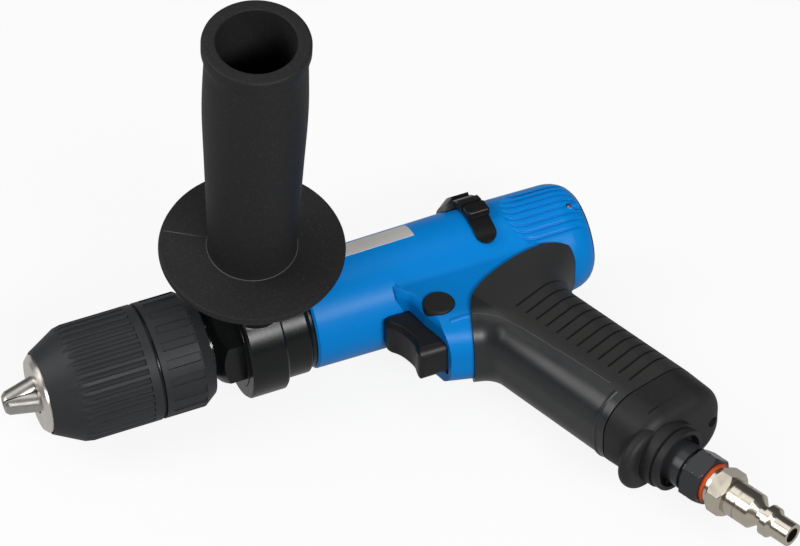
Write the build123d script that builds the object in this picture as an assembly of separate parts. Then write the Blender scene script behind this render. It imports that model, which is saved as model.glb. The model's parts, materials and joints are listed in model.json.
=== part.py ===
from build123d import *
import math
import os

# A reversible pistol-grip air drill with a keyless chuck and a side handle, lying on its right side.
# Working frame, in millimetres: the barrel axis is X with the chuck towards -X, the grip points to -Y,
# and the tool's left side, with the side handle, is up (+Z). X = 0 is the blue housing's front edge.

# Clearances
PRESS_GAP = 0.05
RUN_GAP = 0.1
FREE_GAP = 0.3

# Keyless chuck
CHUCK_RADIUS = 21.5
CHUCK_REAR_X = -38.3
CHUCK_SPLIT_X = -58.4
CHUCK_SPLIT_GAP = 0.8
SLEEVE_FRONT_X = -98.2
SLEEVE_SHOULDER_X = -87.8
SLEEVE_SHOULDER_RADIUS = 20.9
SLEEVE_STRAIGHT_X = -84.8
SLEEVE_LIP = 0.6
SLEEVE_LIP_LENGTH = 1.9
NOSE_RADIUS = 14.4
NOSE_LENGTH = 2.3
NOSE_CHAMFER = 1.4
CHUCK_CORE_RADIUS = 15.9
CHUCK_HUB_RADIUS = 10.6
CHUCK_FLANGE_LENGTH = 4.6
CHUCK_NUT_LENGTH = 8.4
CHUCK_NUT_FRONT_X = -72.2
THRUST_RING_LENGTH = 1.2
FLUTE_COUNT = 40
FLUTE_RADIUS = 0.95
FLUTE_DEPTH = 0.7
FLUTE_END_MARGIN = 4.3
PANEL_COUNT = 20
PANEL_SHARE = 0.5
PANEL_DEPTH = 0.45
PANEL_LENGTH = 12.6
PANEL_MARGIN = 2.2
REAR_SLEEVE_WALL = 2.4
REAR_SLEEVE_WEB = 3.2
REAR_CHAMFER_LENGTH = 4.6
REAR_CHAMFER_DEPTH = 3.2

# Jaws: round rods that slope in to the axis
JAW_COUNT = 3
JAW_ANGLE = 15.0
JAW_RADIUS = 3.95
JAW_TIP_X = -112.0
JAW_LENGTH = 33.0
JAW_GRIP_RADIUS = 1.0
JAW_SPACING = 0.4
JAW_TIP_RADIUS = 3.3
SHANK_BORE_RADIUS = 6.8
SHANK_BORE_DEPTH = 37.0

# Spindle, its thread, bearings and chuck screw
SPINDLE_THREAD_RADIUS = 6.25
SPINDLE_THREAD_FRONT_X = -56.4
SPINDLE_SHOULDER_RADIUS = 10.4
SPINDLE_SHOULDER_END_X = -34.6
SPINDLE_JOURNAL_RADIUS = 7.4
CHUCK_SCREW_RADIUS = 2.9
CHUCK_SCREW_HEAD_RADIUS = 5.2
CHUCK_SCREW_HEAD_LENGTH = 3.2
CHUCK_SCREW_LENGTH = 20.0
SPINDLE_BEARING_OUTER = 15.9
SPINDLE_BEARING_WIDTH = 8.0
SPINDLE_BEARING_XS = (-24.0, -12.6)
SPINDLE_BALL_RADIUS = 1.75
SPINDLE_BALL_COUNT = 10
RACE_GAP = 0.15
RACE_WALL = 1.95

# Front nut, neck and gear case
NUT_FRONT_X = -36.4
NUT_REAR_X = -26.6
NUT_ACROSS_FLATS = 29.5
NUT_CHAMFER = 2.0
NUT_BORE_RADIUS = 10.8
NUT_SPIGOT_LENGTH = 2.3
NECK_SEAT_RADIUS = 18.9
COLLAR_FRONT_X = -11.9
COLLAR_REAR_X = -1.6
COLLAR_RADIUS = 20.6
COLLAR_CHAMFER = 1.2
SHADOW_RING_RADIUS = 19.3
CASE_RADIUS = 18.1
CASE_REAR_X = 24.0
CASE_LIP_WIDTH = 1.5

# Two planet stages in one long ring gear
GEAR_MODULE = 0.6
SUN_TEETH = 12
PLANET_TEETH = 18
RING_TEETH = SUN_TEETH + 2 * PLANET_TEETH
PLANET_COUNT = 3
ADDENDUM = 0.8
DEDENDUM = 1.2
TOOTH_SHARE = 0.40
FLANK_ANGLE = 20.0
RING_GEAR_RADIUS = 16.55
RING_GEAR_FRONT_X = 1.4
PLANET_WIDTH = 7.8
STAGE_GAP = 0.6
CARRIER_RADIUS = 13.0
CARRIER_THICKNESS = 3.0
SPINDLE_CARRIER_THICKNESS = 4.8
PLANET_PIN_RADIUS = 1.75
PINION_SPIGOT_RADIUS = 2.4
PINION_SPIGOT_LENGTH = 5.5

# Vane motor
END_PLATE_LENGTH = 6.6
LINER_LENGTH = 32.0
LINER_BORE_RADIUS = 15.0
LINER_OFFSET = 1.5
ROTOR_RADIUS = 13.2
ROTOR_SHAFT_RADIUS = 3.9
ROTOR_END_GAP = 0.3
VANE_COUNT = 5
VANE_THICKNESS = 1.6
VANE_DEPTH = 7.0
SHAFT_GAP = 0.4
ROTOR_BEARING_OUTER = 9.0
ROTOR_BEARING_WIDTH = 5.0
ROTOR_BALL_RADIUS = 1.2
ROTOR_BALL_COUNT = 8
ROTOR_RACE_WALL = 1.1

# Reverse valve behind the motor, and the lever that turns it
VALVE_LENGTH = 7.4
VALVE_RADIUS = 17.6
VALVE_SPIGOT_RADIUS = 4.0
VALVE_PORT_RADIUS = 2.6
VALVE_PORT_COUNT = 4
VALVE_PORT_CIRCLE = 10.5
VALVE_PLATE_LENGTH = 5.6
LEVER_X = 70.5
LEVER_WIDTH = 8.0
LEVER_CENTRE_ANGLE = 140.0
LEVER_HALF_SPAN = 80.0
LEVER_TRAVEL = 80.0
LEVER_THICKNESS = 1.5
LEVER_RIDGE_HEIGHT = 4.2
LEVER_RIDGE_ANGLE = 37.0
LEVER_RIDGE_WIDTH = 4.0
LEVER_SCOOP = 1.2
LEVER_POINTER_LENGTH = 3.8
LEVER_POINTER_HEIGHT = 1.6
LEVER_POINTER_ANGLE = 16.0
LEVER_PIN_RADIUS = 1.9
LEVER_PIN_X = 72.6
LEVER_PIN_REACH = 14.5

# Motor housing
HOUSING_LENGTH = 109.7
HOUSING_FRONT_RADIUS = 20.2
HOUSING_RADIUS = 21.0
HOUSING_REAR_RADIUS = 20.4
HOUSING_TAPER_X = 60.0
HOUSING_EDGE = 0.8
HOUSING_BORE_RADIUS = 18.3
REAR_BEVEL_LENGTH = 7.6
REAR_BEVEL_DEPTH = 3.8
REAR_CHAMBER_RADIUS = 15.5
REAR_WALL = 5.0
RIB_GROOVE_COUNT = 8
RIB_GROOVE_PITCH = 8.8
RIB_GROOVE_FIRST = 50.0
RIB_GROOVE_RADIUS = 1.0
RIB_GROOVE_DEPTH = 0.75
RIB_FRONT_X = 79.8
RIB_FRONT_ANGLE = 77.0
RIB_FRONT_SWEEP = 0.0035
RIB_HOOK = ((0.0, 17.0), (2.2, 6.5), (7.0, 0.0))
REAR_CAP_RADIUS = 16.0
REAR_CAP_SPIGOT_RADIUS = 12.4
REAR_CAP_THICKNESS = 0.7
REAR_CAP_EDGE = 0.3
REAR_SCREW_ANGLE = 75.0
REAR_SCREW_CIRCLE = 18.2
REAR_SCREW_HEAD_RADIUS = 1.5
REAR_SCREW_HEAD_LENGTH = 1.6
REAR_SCREW_RADIUS = 0.9
REAR_SCREW_LENGTH = 9.0
REAR_SCREW_X = 105.6

# Trigger neck: a bare front to the grip, standing back from the rubber. Trigger and push button.
NECK_STEP = 1.4
NECK_TOP_X = 31.0
NECK_BEND_Y = -22.0
NECK_BEND_ROUND = 20.0
NECK_FOOT_X = 35.0
NECK_FOOT_ROUND = 9.0
NECK_REAR_X = 88.0
NECK_BLEND = 8.0
NECK_ROOT = 2.0
TRIGGER_HALF_WIDTH = 7.4
TRIGGER_TOP_Y = -19.9
TRIGGER_FOOT_Y = -43.2
TRIGGER_NOSE_X = 24.7
TRIGGER_NOSE_ROUND = 2.7
TRIGGER_TOE_X = 29.7
TRIGGER_TOE_ROUND = 2.5
TRIGGER_SCOOP = ((26.9, -26.8), (29.3, -31.8), (30.2, -36.6))
TRIGGER_EDGE = 2.2
TRIGGER_BACK_X = 42.0
TRIGGER_TRAVEL = 5.0
BUTTON_X = 42.8
BUTTON_Y = -29.4
BUTTON_RADIUS = 5.7
BUTTON_HEIGHT = 0.9
BUTTON_DOME = 0.8
BUTTON_LENGTH = 5.0
BUTTON_TRAVEL = 2.0
BUTTON_GAP = 0.2

# Throttle valve behind the trigger
THROTTLE_Y = -33.0
THROTTLE_BORE_RADIUS = 5.7
THROTTLE_BUSH_X = 50.0
THROTTLE_BUSH_LENGTH = 9.0
THROTTLE_CHAMBER_END_X = 75.0
STEM_RADIUS = 1.6
STEM_HEAD_RADIUS = 3.8
STEM_HEAD_LENGTH = 2.2
SPRING_WIRE_RADIUS = 0.45
SPRING_RADIUS = 3.2
SPRING_TURNS = 4

# Grip: the plug's tilt, then the grip's straight sides, its floor behind the trigger and the hand's web
GRIP_TILT = 23.1
GRIP_ROOT_X = 43.1
GRIP_SLOPE = 21.5
GRIP_FRONT = (62.0, -70.8)
GRIP_DEPTH = 40.4
GRIP_HALF_WIDTH = 16.6
GRIP_CORNER = 13.6
GRIP_TOP_Y = -12.0
FLOOR_AT = (50.2, -49.6)
FLOOR_FALL = 15.0
FLOOR_FRONT_X = 20.0
FINGER_ROUND = 6.0
WEB_Y = -33.0
WEB_REACH = (104.0, -16.0)
WEB_ROUND = 14.0
SEAM_AT = (97.0, -95.2)
SEAM_TILT = 15.5
RUBBER_THICKNESS = 2.6
RUBBER_FRONT_X = 48.2
RUBBER_CORNER_Y = -50.0
RUBBER_FOOT_Y = -125.0
RUBBER_ARCH = ((49.6, -44.2), (51.6, -38.1), (54.0, -32.7), (58.6, -28.0), (65.3, -23.9), (76.0, -19.5),
               (87.0, -17.3), (97.0, -17.0), (106.0, -17.0))
GROOVE_COUNT = 12
GROOVE_FIRST = 48.9
GROOVE_PITCH = 4.9
GROOVE_WIDTH = 1.0
GROOVE_DEPTH = 0.8
GROOVE_START = 4.9
CAP_SEAM = 0.6
CAP_EDGE = 6.0
CAP_END_AT = 125.4
CAP_END_OFFSET = 8.2
CAP_END_HALF_DEPTH = 19.8
CAP_END_HALF_WIDTH = 15.9
CAP_END_TILT = 15.0
CAP_BORE_START = 95.0
LIP_START = 118.0
LIP_LENGTH = 5.6
LIP_RADIUS = 12.7
LIP_OFFSET = -6.1
LIP_ROUND = 2.6
CAP_SCREW_ACROSS = 22.0
CAP_SCREW_HEAD_AT = 125.0
CAP_SCREW_RADIUS = 2.0
CAP_SCREW_LENGTH = 24.0

# Air inlet along the grip direction, measured from the barrel axis
EXHAUST_SEAT_START = 114.0
EXHAUST_RING_RADIUS = 12.5
EXHAUST_STEP_RADIUS = 11.9
EXHAUST_START = 123.4
EXHAUST_STEP_AT = 127.7
EXHAUST_GROOVE_RADIUS = 11.2
EXHAUST_GROOVE_LENGTH = 0.6
EXHAUST_END = 131.3
EXHAUST_WALL = 1.7
BUSHING_START = 112.0
BUSHING_RADIUS = 8.1
BUSHING_GROOVE_START = 136.6
BUSHING_GROOVE_RADIUS = 7.2
BUSHING_HEX_START = 138.0
BUSHING_END = 146.0
BUSHING_ACROSS_FLATS = 17.0
BUSHING_TURN = 16.0
BUSHING_BORE_RADIUS = 5.2
HEX_CHAMFER = 1.0
SCREEN_LENGTH = 9.0
SCREEN_WALL = 0.6
SEAL_THICKNESS = 1.4
SEAL_RADIUS = 7.6
PLUG_END = 181.7
PLUG_ACROSS_FLATS = 15.4
PLUG_FLANGE_RADIUS = 7.0
PLUG_FLANGE_LENGTH = 1.8
PLUG_HEX_LENGTH = 6.4
PLUG_BODY_RADIUS = 6.5
PLUG_BODY_LENGTH = 10.0
PLUG_GROOVE_AT = 4.4
PLUG_GROOVE_WIDTH = 0.5
PLUG_GROOVE_DEPTH = 0.3
PLUG_NECK_RADIUS = 3.9
PLUG_COLLAR_RADIUS = 5.7
PLUG_COLLAR_LENGTH = 2.6
PLUG_NOSE_RADIUS = 4.3
PLUG_NOSE_LENGTH = 8.2
PLUG_BORE_RADIUS = 2.8
PLUG_THREAD_LENGTH = 8.0
AIR_PASSAGE_RADIUS = 5.0

# Side handle, clamped round the neck
HANDLE_X = -18.9
HANDLE_LEAN = 11.0
HANDLE_FLANGE_AT = 51.8
HANDLE_FLANGE_RADIUS = 32.8
HANDLE_FLANGE_THICKNESS = 3.4
HANDLE_FLANGE_EDGE = 1.2
HANDLE_END = 161.6
HANDLE_LIP_ROUND = 1.0
HANDLE_FOOT_RADIUS = 15.6
HANDLE_BULGE_AT = 128.0
HANDLE_BULGE_RADIUS = 17.8
HANDLE_WAIST_AT = 152.0
HANDLE_WAIST_RADIUS = 17.2
HANDLE_LIP_RADIUS = 18.2
HANDLE_LIP_LENGTH = 5.0
HANDLE_MOUTH_RADIUS = 13.9
HANDLE_BORE_RADIUS = 12.4
HANDLE_FLOOR_AT = 100.0
HANDLE_FOOT_ROUND = 3.0
CLAMP_BORE_GAP = 0.1
CLAMP_RADIUS = 23.7
CLAMP_EDGE = 0.8
CLAMP_SIDE_GAP = 0.3
CLAMP_BOSS_RADIUS = 13.5
BOLT_RADIUS = 5.0
BOLT_HEAD_RADIUS = 8.4
BOLT_HEAD_LENGTH = 6.4
BOLT_HEAD_AT = 58.0
SHOE_THICKNESS = 3.0


def turned(points):
    """A solid of revolution about X from (x, radius) corners."""
    return revolve(make_face(Polyline(*points, close=True)), Axis.X)


def tube(x_start, x_end, outer, inner):
    """A plain ring about X."""
    return turned([(x_start, inner), (x_end, inner), (x_end, outer), (x_start, outer)])


def rod(x_start, x_end, radius):
    """A plain round bar about X."""
    return turned([(x_start, 0), (x_end, 0), (x_end, radius), (x_start, radius)])


def about_axis(angle):
    """A turn about X from straight down the grip (-Y), rising on the tool's left side."""
    return Rot(-angle, 0, 0)


def spread(solid, count, first=0.0):
    """Evenly spaced copies about X."""
    return [about_axis(first + 360.0 * k / count) * solid for k in range(count)]


def hexagon_bar(x_start, x_end, across_flats):
    """A hexagonal bar about X."""
    outline = RegularPolygon(across_flats / 2, 6, major_radius=False)
    return extrude(Plane(origin=(x_start, 0, 0), z_dir=(1, 0, 0)) * outline, x_end - x_start)


def gear_face(teeth, internal=False):
    """The outline of a straight-flanked gear in the YZ plane, with one tooth on the -Y side."""
    pitch_radius = GEAR_MODULE * teeth / 2
    towards_tip = -1 if internal else 1
    tip = pitch_radius + towards_tip * ADDENDUM * GEAR_MODULE
    root = pitch_radius - towards_tip * DEDENDUM * GEAR_MODULE
    flank = math.tan(math.radians(FLANK_ANGLE)) * GEAR_MODULE / pitch_radius
    half = TOOTH_SHARE * math.pi / teeth
    corners = ((root, -half - DEDENDUM * flank), (tip, -half + ADDENDUM * flank),
               (tip, half - ADDENDUM * flank), (root, half + DEDENDUM * flank))
    points = []
    for k in range(teeth):
        for radius, offset in corners:
            angle = 2 * math.pi * k / teeth + offset
            points.append((0, -radius * math.cos(angle), radius * math.sin(angle)))
    return make_face(Polyline(*points, close=True))


def gear(teeth, x_start, length):
    """A toothed bar about X."""
    return extrude(Pos(x_start, 0, 0) * gear_face(teeth), length, dir=(1, 0, 0))


def on_frame(frame, solid):
    """Carry a solid made about X into another working frame."""
    return frame.location * solid


# The grip frame runs down the grip with X, and the handle frame up the side handle with X
tilt = math.radians(GRIP_TILT)
grip_down = (math.sin(tilt), -math.cos(tilt), 0)
grip_back = (math.cos(tilt), math.sin(tilt), 0)
grip_frame = Plane(origin=(GRIP_ROOT_X, 0, 0), x_dir=grip_down, z_dir=(0, 0, 1))
lean = math.radians(HANDLE_LEAN)
handle_frame = Plane(origin=(HANDLE_X, 0, 0), x_dir=(0, -math.sin(lean), math.cos(lean)), z_dir=(1, 0, 0))

pieces = {}


# Chuck
jaw_slope = math.tan(math.radians(JAW_ANGLE))
jaw_bore_radius = JAW_RADIUS + RUN_GAP
jaw_rear_x = JAW_TIP_X + JAW_LENGTH
jaw_reach = jaw_bore_radius / math.cos(math.radians(JAW_ANGLE))


def jaw_bar(radius, x_start, x_end):
    """A round bar on the sloping jaw axis, which meets the chuck axis at the jaw's tip."""
    bar = rod(x_start - JAW_TIP_X, x_end - JAW_TIP_X, radius)
    return Pos(JAW_TIP_X, 0, 0) * Rot(0, 0, -JAW_ANGLE) * bar


def jaw_outer(x):
    """How far the jaw bores reach from the chuck axis at x."""
    return (x - JAW_TIP_X) * jaw_slope + jaw_reach


nose_front_x = SLEEVE_FRONT_X - NOSE_LENGTH
core_front_x = SLEEVE_FRONT_X + SLEEVE_LIP_LENGTH + FREE_GAP
nut_rear_x = CHUCK_NUT_FRONT_X + CHUCK_NUT_LENGTH
flange_front_x = nut_rear_x + THRUST_RING_LENGTH + 2 * FREE_GAP
flange_rear_x = flange_front_x + CHUCK_FLANGE_LENGTH
sleeve_rear_x = CHUCK_SPLIT_X - CHUCK_SPLIT_GAP / 2
rear_sleeve_front_x = CHUCK_SPLIT_X + CHUCK_SPLIT_GAP / 2
rear_sleeve_bore = CHUCK_RADIUS - REAR_SLEEVE_WALL
flange_radius = rear_sleeve_bore - PRESS_GAP
screw_seat_x = nose_front_x + SHANK_BORE_DEPTH
thread_front_x = SPINDLE_THREAD_FRONT_X - FREE_GAP

chuck_body = turned([
    (nose_front_x, 0), (nose_front_x, NOSE_RADIUS - NOSE_CHAMFER),
    (nose_front_x + NOSE_CHAMFER, NOSE_RADIUS),
    (core_front_x, NOSE_RADIUS), (core_front_x, CHUCK_CORE_RADIUS),
    (CHUCK_NUT_FRONT_X - FREE_GAP, CHUCK_CORE_RADIUS), (CHUCK_NUT_FRONT_X - FREE_GAP, CHUCK_HUB_RADIUS),
    (flange_front_x, CHUCK_HUB_RADIUS), (flange_front_x, flange_radius), (flange_rear_x, flange_radius),
    (flange_rear_x, CHUCK_HUB_RADIUS), (CHUCK_REAR_X, CHUCK_HUB_RADIUS), (CHUCK_REAR_X, 0)])
chuck_body -= rod(nose_front_x, screw_seat_x, SHANK_BORE_RADIUS)
chuck_body -= rod(screw_seat_x, thread_front_x, CHUCK_SCREW_RADIUS + FREE_GAP)
chuck_body -= rod(thread_front_x, CHUCK_REAR_X, SPINDLE_THREAD_RADIUS + PRESS_GAP)
jaw_bore = jaw_bar(jaw_bore_radius, nose_front_x - JAW_RADIUS * 2, flange_rear_x + JAW_RADIUS * 2)
chuck_body -= spread(jaw_bore, JAW_COUNT)
pieces["chuck_body"] = chuck_body

wedge_side = 2 * CHUCK_RADIUS
wedge_angle = math.radians(180.0 / JAW_COUNT)
wedge_tip = JAW_SPACING / 2 / math.sin(wedge_angle)
wedge = make_face(Polyline(
    (0, -wedge_tip, 0),
    (0, -wedge_tip - wedge_side * math.cos(wedge_angle), wedge_side * math.sin(wedge_angle)),
    (0, -wedge_tip - wedge_side * math.cos(wedge_angle), -wedge_side * math.sin(wedge_angle)), close=True))
jaw_span = extrude(Pos(JAW_TIP_X, 0, 0) * wedge, JAW_LENGTH, dir=(1, 0, 0))
tip_flare = turned([(JAW_TIP_X, 0), (JAW_TIP_X, JAW_TIP_RADIUS), (JAW_TIP_X + CHUCK_RADIUS, CHUCK_RADIUS),
                    (jaw_rear_x, CHUCK_RADIUS), (jaw_rear_x, 0)])
jaw = jaw_bar(JAW_RADIUS, JAW_TIP_X - 2 * JAW_RADIUS, jaw_rear_x + JAW_RADIUS) & jaw_span & tip_flare
jaw -= rod(JAW_TIP_X, jaw_rear_x, JAW_GRIP_RADIUS)
for k, solid in enumerate(spread(jaw, JAW_COUNT)):
    pieces[f"chuck_jaw_{k + 1}"] = solid

nut_seat = CHUCK_RADIUS - REAR_SLEEVE_WALL
front_sleeve = turned([
    (SLEEVE_FRONT_X, NOSE_RADIUS + FREE_GAP), (SLEEVE_FRONT_X, NOSE_RADIUS + FREE_GAP + SLEEVE_LIP),
    (SLEEVE_SHOULDER_X, SLEEVE_SHOULDER_RADIUS), (SLEEVE_STRAIGHT_X, CHUCK_RADIUS),
    (sleeve_rear_x - SLEEVE_LIP, CHUCK_RADIUS), (sleeve_rear_x, CHUCK_RADIUS - SLEEVE_LIP),
    (sleeve_rear_x, nut_seat), (CHUCK_NUT_FRONT_X, nut_seat),
    (CHUCK_NUT_FRONT_X, CHUCK_CORE_RADIUS + FREE_GAP),
    (SLEEVE_FRONT_X + SLEEVE_LIP_LENGTH, CHUCK_CORE_RADIUS + FREE_GAP),
    (SLEEVE_FRONT_X + SLEEVE_LIP_LENGTH, NOSE_RADIUS + FREE_GAP)])
flute_y = -(CHUCK_RADIUS - FLUTE_DEPTH + FLUTE_RADIUS)
flute = Pos(0, flute_y, 0) * rod(SLEEVE_FRONT_X, sleeve_rear_x - FLUTE_END_MARGIN, FLUTE_RADIUS)
pieces["chuck_front_sleeve"] = front_sleeve - spread(flute, FLUTE_COUNT)

pieces["chuck_nut"] = turned([
    (CHUCK_NUT_FRONT_X, jaw_outer(CHUCK_NUT_FRONT_X) + FREE_GAP), (CHUCK_NUT_FRONT_X, nut_seat - PRESS_GAP),
    (nut_rear_x, nut_seat - PRESS_GAP), (nut_rear_x, jaw_outer(nut_rear_x) + FREE_GAP)])
thrust_front_x = nut_rear_x + FREE_GAP
pieces["chuck_thrust_ring"] = tube(
    thrust_front_x, thrust_front_x + THRUST_RING_LENGTH,
    nut_seat - PRESS_GAP, jaw_outer(thrust_front_x + THRUST_RING_LENGTH) + FREE_GAP)

rear_sleeve = turned([
    (rear_sleeve_front_x, rear_sleeve_bore), (rear_sleeve_front_x, CHUCK_RADIUS),
    (CHUCK_REAR_X - REAR_CHAMFER_LENGTH, CHUCK_RADIUS), (CHUCK_REAR_X, CHUCK_RADIUS - REAR_CHAMFER_DEPTH),
    (CHUCK_REAR_X, CHUCK_HUB_RADIUS + PRESS_GAP),
    (CHUCK_REAR_X - REAR_SLEEVE_WEB, CHUCK_HUB_RADIUS + PRESS_GAP),
    (CHUCK_REAR_X - REAR_SLEEVE_WEB, CHUCK_RADIUS - REAR_CHAMFER_DEPTH - REAR_SLEEVE_WALL),
    (CHUCK_REAR_X - REAR_SLEEVE_WEB - REAR_CHAMFER_LENGTH, rear_sleeve_bore)])
panel_width = PANEL_SHARE * 2 * CHUCK_RADIUS * math.tan(math.pi / PANEL_COUNT)
panel_face_y = CHUCK_RADIUS * math.cos(math.pi * PANEL_SHARE / PANEL_COUNT) - PANEL_DEPTH
panel = Pos(rear_sleeve_front_x + PANEL_MARGIN, -panel_face_y, 0) * Box(
    PANEL_LENGTH, CHUCK_RADIUS, panel_width, align=(Align.MIN, Align.MAX, Align.CENTER))
pieces["chuck_rear_sleeve"] = rear_sleeve - spread(panel, PANEL_COUNT)

pieces["chuck_screw"] = (rod(screw_seat_x - CHUCK_SCREW_HEAD_LENGTH, screw_seat_x, CHUCK_SCREW_HEAD_RADIUS)
                         + rod(screw_seat_x, screw_seat_x + CHUCK_SCREW_LENGTH, CHUCK_SCREW_RADIUS))


# Gear train
planet_circle = GEAR_MODULE * (SUN_TEETH + PLANET_TEETH) / 2
second_stage_x = RING_GEAR_FRONT_X + STAGE_GAP
carrier_x = second_stage_x + PLANET_WIDTH + STAGE_GAP
first_stage_x = carrier_x + CARRIER_THICKNESS + STAGE_GAP
ring_gear_rear_x = first_stage_x + PLANET_WIDTH + STAGE_GAP
spindle_rear_x = second_stage_x - STAGE_GAP
spindle_carrier_x = spindle_rear_x - SPINDLE_CARRIER_THICKNESS

pin_hole = Pos(0, -planet_circle, 0) * rod(spindle_carrier_x, spindle_rear_x, PLANET_PIN_RADIUS + PRESS_GAP)
spindle = turned([
    (SPINDLE_THREAD_FRONT_X, 0), (SPINDLE_THREAD_FRONT_X, SPINDLE_THREAD_RADIUS),
    (CHUCK_REAR_X, SPINDLE_THREAD_RADIUS), (CHUCK_REAR_X, SPINDLE_SHOULDER_RADIUS),
    (SPINDLE_SHOULDER_END_X, SPINDLE_SHOULDER_RADIUS), (SPINDLE_SHOULDER_END_X, SPINDLE_JOURNAL_RADIUS),
    (spindle_carrier_x, SPINDLE_JOURNAL_RADIUS), (spindle_carrier_x, CARRIER_RADIUS),
    (spindle_rear_x, CARRIER_RADIUS), (spindle_rear_x, 0)])
screw_hole_end = screw_seat_x + CHUCK_SCREW_LENGTH + FREE_GAP
spigot_hole_start = second_stage_x - PINION_SPIGOT_LENGTH - FREE_GAP
spindle -= rod(SPINDLE_THREAD_FRONT_X, screw_hole_end, CHUCK_SCREW_RADIUS + PRESS_GAP)
spindle -= rod(spigot_hole_start, spindle_rear_x, PINION_SPIGOT_RADIUS + RUN_GAP)
pieces["spindle"] = spindle - spread(pin_hole, PLANET_COUNT)
pin_2 = Pos(0, -planet_circle, 0) * rod(spindle_carrier_x, second_stage_x + PLANET_WIDTH, PLANET_PIN_RADIUS)
pieces["second_stage_pins"] = Compound(spread(pin_2, PLANET_COUNT))

carrier = rod(carrier_x, carrier_x + CARRIER_THICKNESS, CARRIER_RADIUS)
carrier += gear(SUN_TEETH, second_stage_x, carrier_x - second_stage_x)
carrier += rod(second_stage_x - PINION_SPIGOT_LENGTH, second_stage_x, PINION_SPIGOT_RADIUS)
carrier_hole = Pos(0, -planet_circle, 0) * rod(
    carrier_x, carrier_x + CARRIER_THICKNESS, PLANET_PIN_RADIUS + PRESS_GAP)
pieces["first_carrier"] = carrier - spread(carrier_hole, PLANET_COUNT)
pin_1 = Pos(0, -planet_circle, 0) * rod(carrier_x, first_stage_x + PLANET_WIDTH, PLANET_PIN_RADIUS)
pieces["first_stage_pins"] = Compound(spread(pin_1, PLANET_COUNT))

half_tooth = 180.0 / PLANET_TEETH
for stage, stage_x in (("first", first_stage_x), ("second", second_stage_x)):
    planet = about_axis(half_tooth) * gear(PLANET_TEETH, stage_x, PLANET_WIDTH)
    planet -= rod(stage_x, stage_x + PLANET_WIDTH, PLANET_PIN_RADIUS + RUN_GAP)
    for k, solid in enumerate(spread(Pos(0, -planet_circle, 0) * planet, PLANET_COUNT)):
        pieces[f"{stage}_stage_planet_{k + 1}"] = solid

ring_blank = rod(RING_GEAR_FRONT_X, ring_gear_rear_x, RING_GEAR_RADIUS)
ring_cut = Pos(RING_GEAR_FRONT_X, 0, 0) * gear_face(RING_TEETH, internal=True)
pieces["ring_gear"] = ring_blank - extrude(ring_cut, ring_gear_rear_x - RING_GEAR_FRONT_X, dir=(1, 0, 0))


# Bearings
def bearing(x_start, width, bore, outer, wall, ball_radius, ball_count):
    """The outer race, inner race and balls of one bearing about X."""
    inner_race = tube(x_start, x_start + width, bore + wall, bore)
    outer_race = tube(x_start, x_start + width, outer, outer - wall - (outer - bore - 2 * wall) / 2
                      + ball_radius + RACE_GAP)
    ball = Pos(x_start + width / 2, -(bore + wall + RACE_GAP + ball_radius), 0) * Sphere(ball_radius)
    return outer_race, inner_race, spread(ball, ball_count)


def bearing_set(prefix, starts, **sizes):
    """Name the races and balls of a pair of like bearings."""
    sets = [bearing(x_start, **sizes) for x_start in starts]
    pieces[prefix + "_outer_races"] = Compound([outer for outer, inner, balls in sets])
    pieces[prefix + "_inner_races"] = Compound([inner for outer, inner, balls in sets])
    pieces[prefix + "_balls"] = Compound([ball for outer, inner, balls in sets for ball in balls])


motor_front_x = CASE_REAR_X + FREE_GAP
liner_x = motor_front_x + END_PLATE_LENGTH
rear_plate_x = liner_x + LINER_LENGTH
valve_x = rear_plate_x + END_PLATE_LENGTH + FREE_GAP
plate_wall = (END_PLATE_LENGTH - ROTOR_BEARING_WIDTH) / 2
bearing_set("spindle_bearing", SPINDLE_BEARING_XS, width=SPINDLE_BEARING_WIDTH,
            bore=SPINDLE_JOURNAL_RADIUS + PRESS_GAP, outer=SPINDLE_BEARING_OUTER, wall=RACE_WALL,
            ball_radius=SPINDLE_BALL_RADIUS, ball_count=SPINDLE_BALL_COUNT)
rotor_bearing_xs = (motor_front_x + plate_wall, rear_plate_x + plate_wall)
bearing_set("rotor_bearing", rotor_bearing_xs, width=ROTOR_BEARING_WIDTH,
            bore=ROTOR_SHAFT_RADIUS + PRESS_GAP, outer=ROTOR_BEARING_OUTER, wall=ROTOR_RACE_WALL,
            ball_radius=ROTOR_BALL_RADIUS, ball_count=ROTOR_BALL_COUNT)


# Neck and gear case, with the faceted nut in front
case_bore = SPINDLE_BEARING_OUTER + PRESS_GAP
nut_spigot_end = NUT_REAR_X + NUT_SPIGOT_LENGTH
lip_start = SPINDLE_BEARING_XS[0] + SPINDLE_BEARING_WIDTH + FREE_GAP
lip_end = SPINDLE_BEARING_XS[1] - FREE_GAP
lip_radius = case_bore - CASE_LIP_WIDTH
ring_bore = RING_GEAR_RADIUS + PRESS_GAP
pieces["gear_case"] = turned([
    (NUT_REAR_X, case_bore), (NUT_REAR_X, NECK_SEAT_RADIUS), (COLLAR_FRONT_X, NECK_SEAT_RADIUS),
    (COLLAR_FRONT_X, COLLAR_RADIUS), (COLLAR_REAR_X - COLLAR_CHAMFER, COLLAR_RADIUS),
    (COLLAR_REAR_X, SHADOW_RING_RADIUS), (-FREE_GAP, SHADOW_RING_RADIUS), (-FREE_GAP, CASE_RADIUS),
    (CASE_REAR_X, CASE_RADIUS), (CASE_REAR_X, ring_bore), (RING_GEAR_FRONT_X - FREE_GAP, ring_bore),
    (RING_GEAR_FRONT_X - FREE_GAP, case_bore), (lip_end, case_bore), (lip_end, lip_radius),
    (lip_start, lip_radius), (lip_start, case_bore)])
nut_corner = NUT_ACROSS_FLATS / math.sqrt(3)
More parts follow.
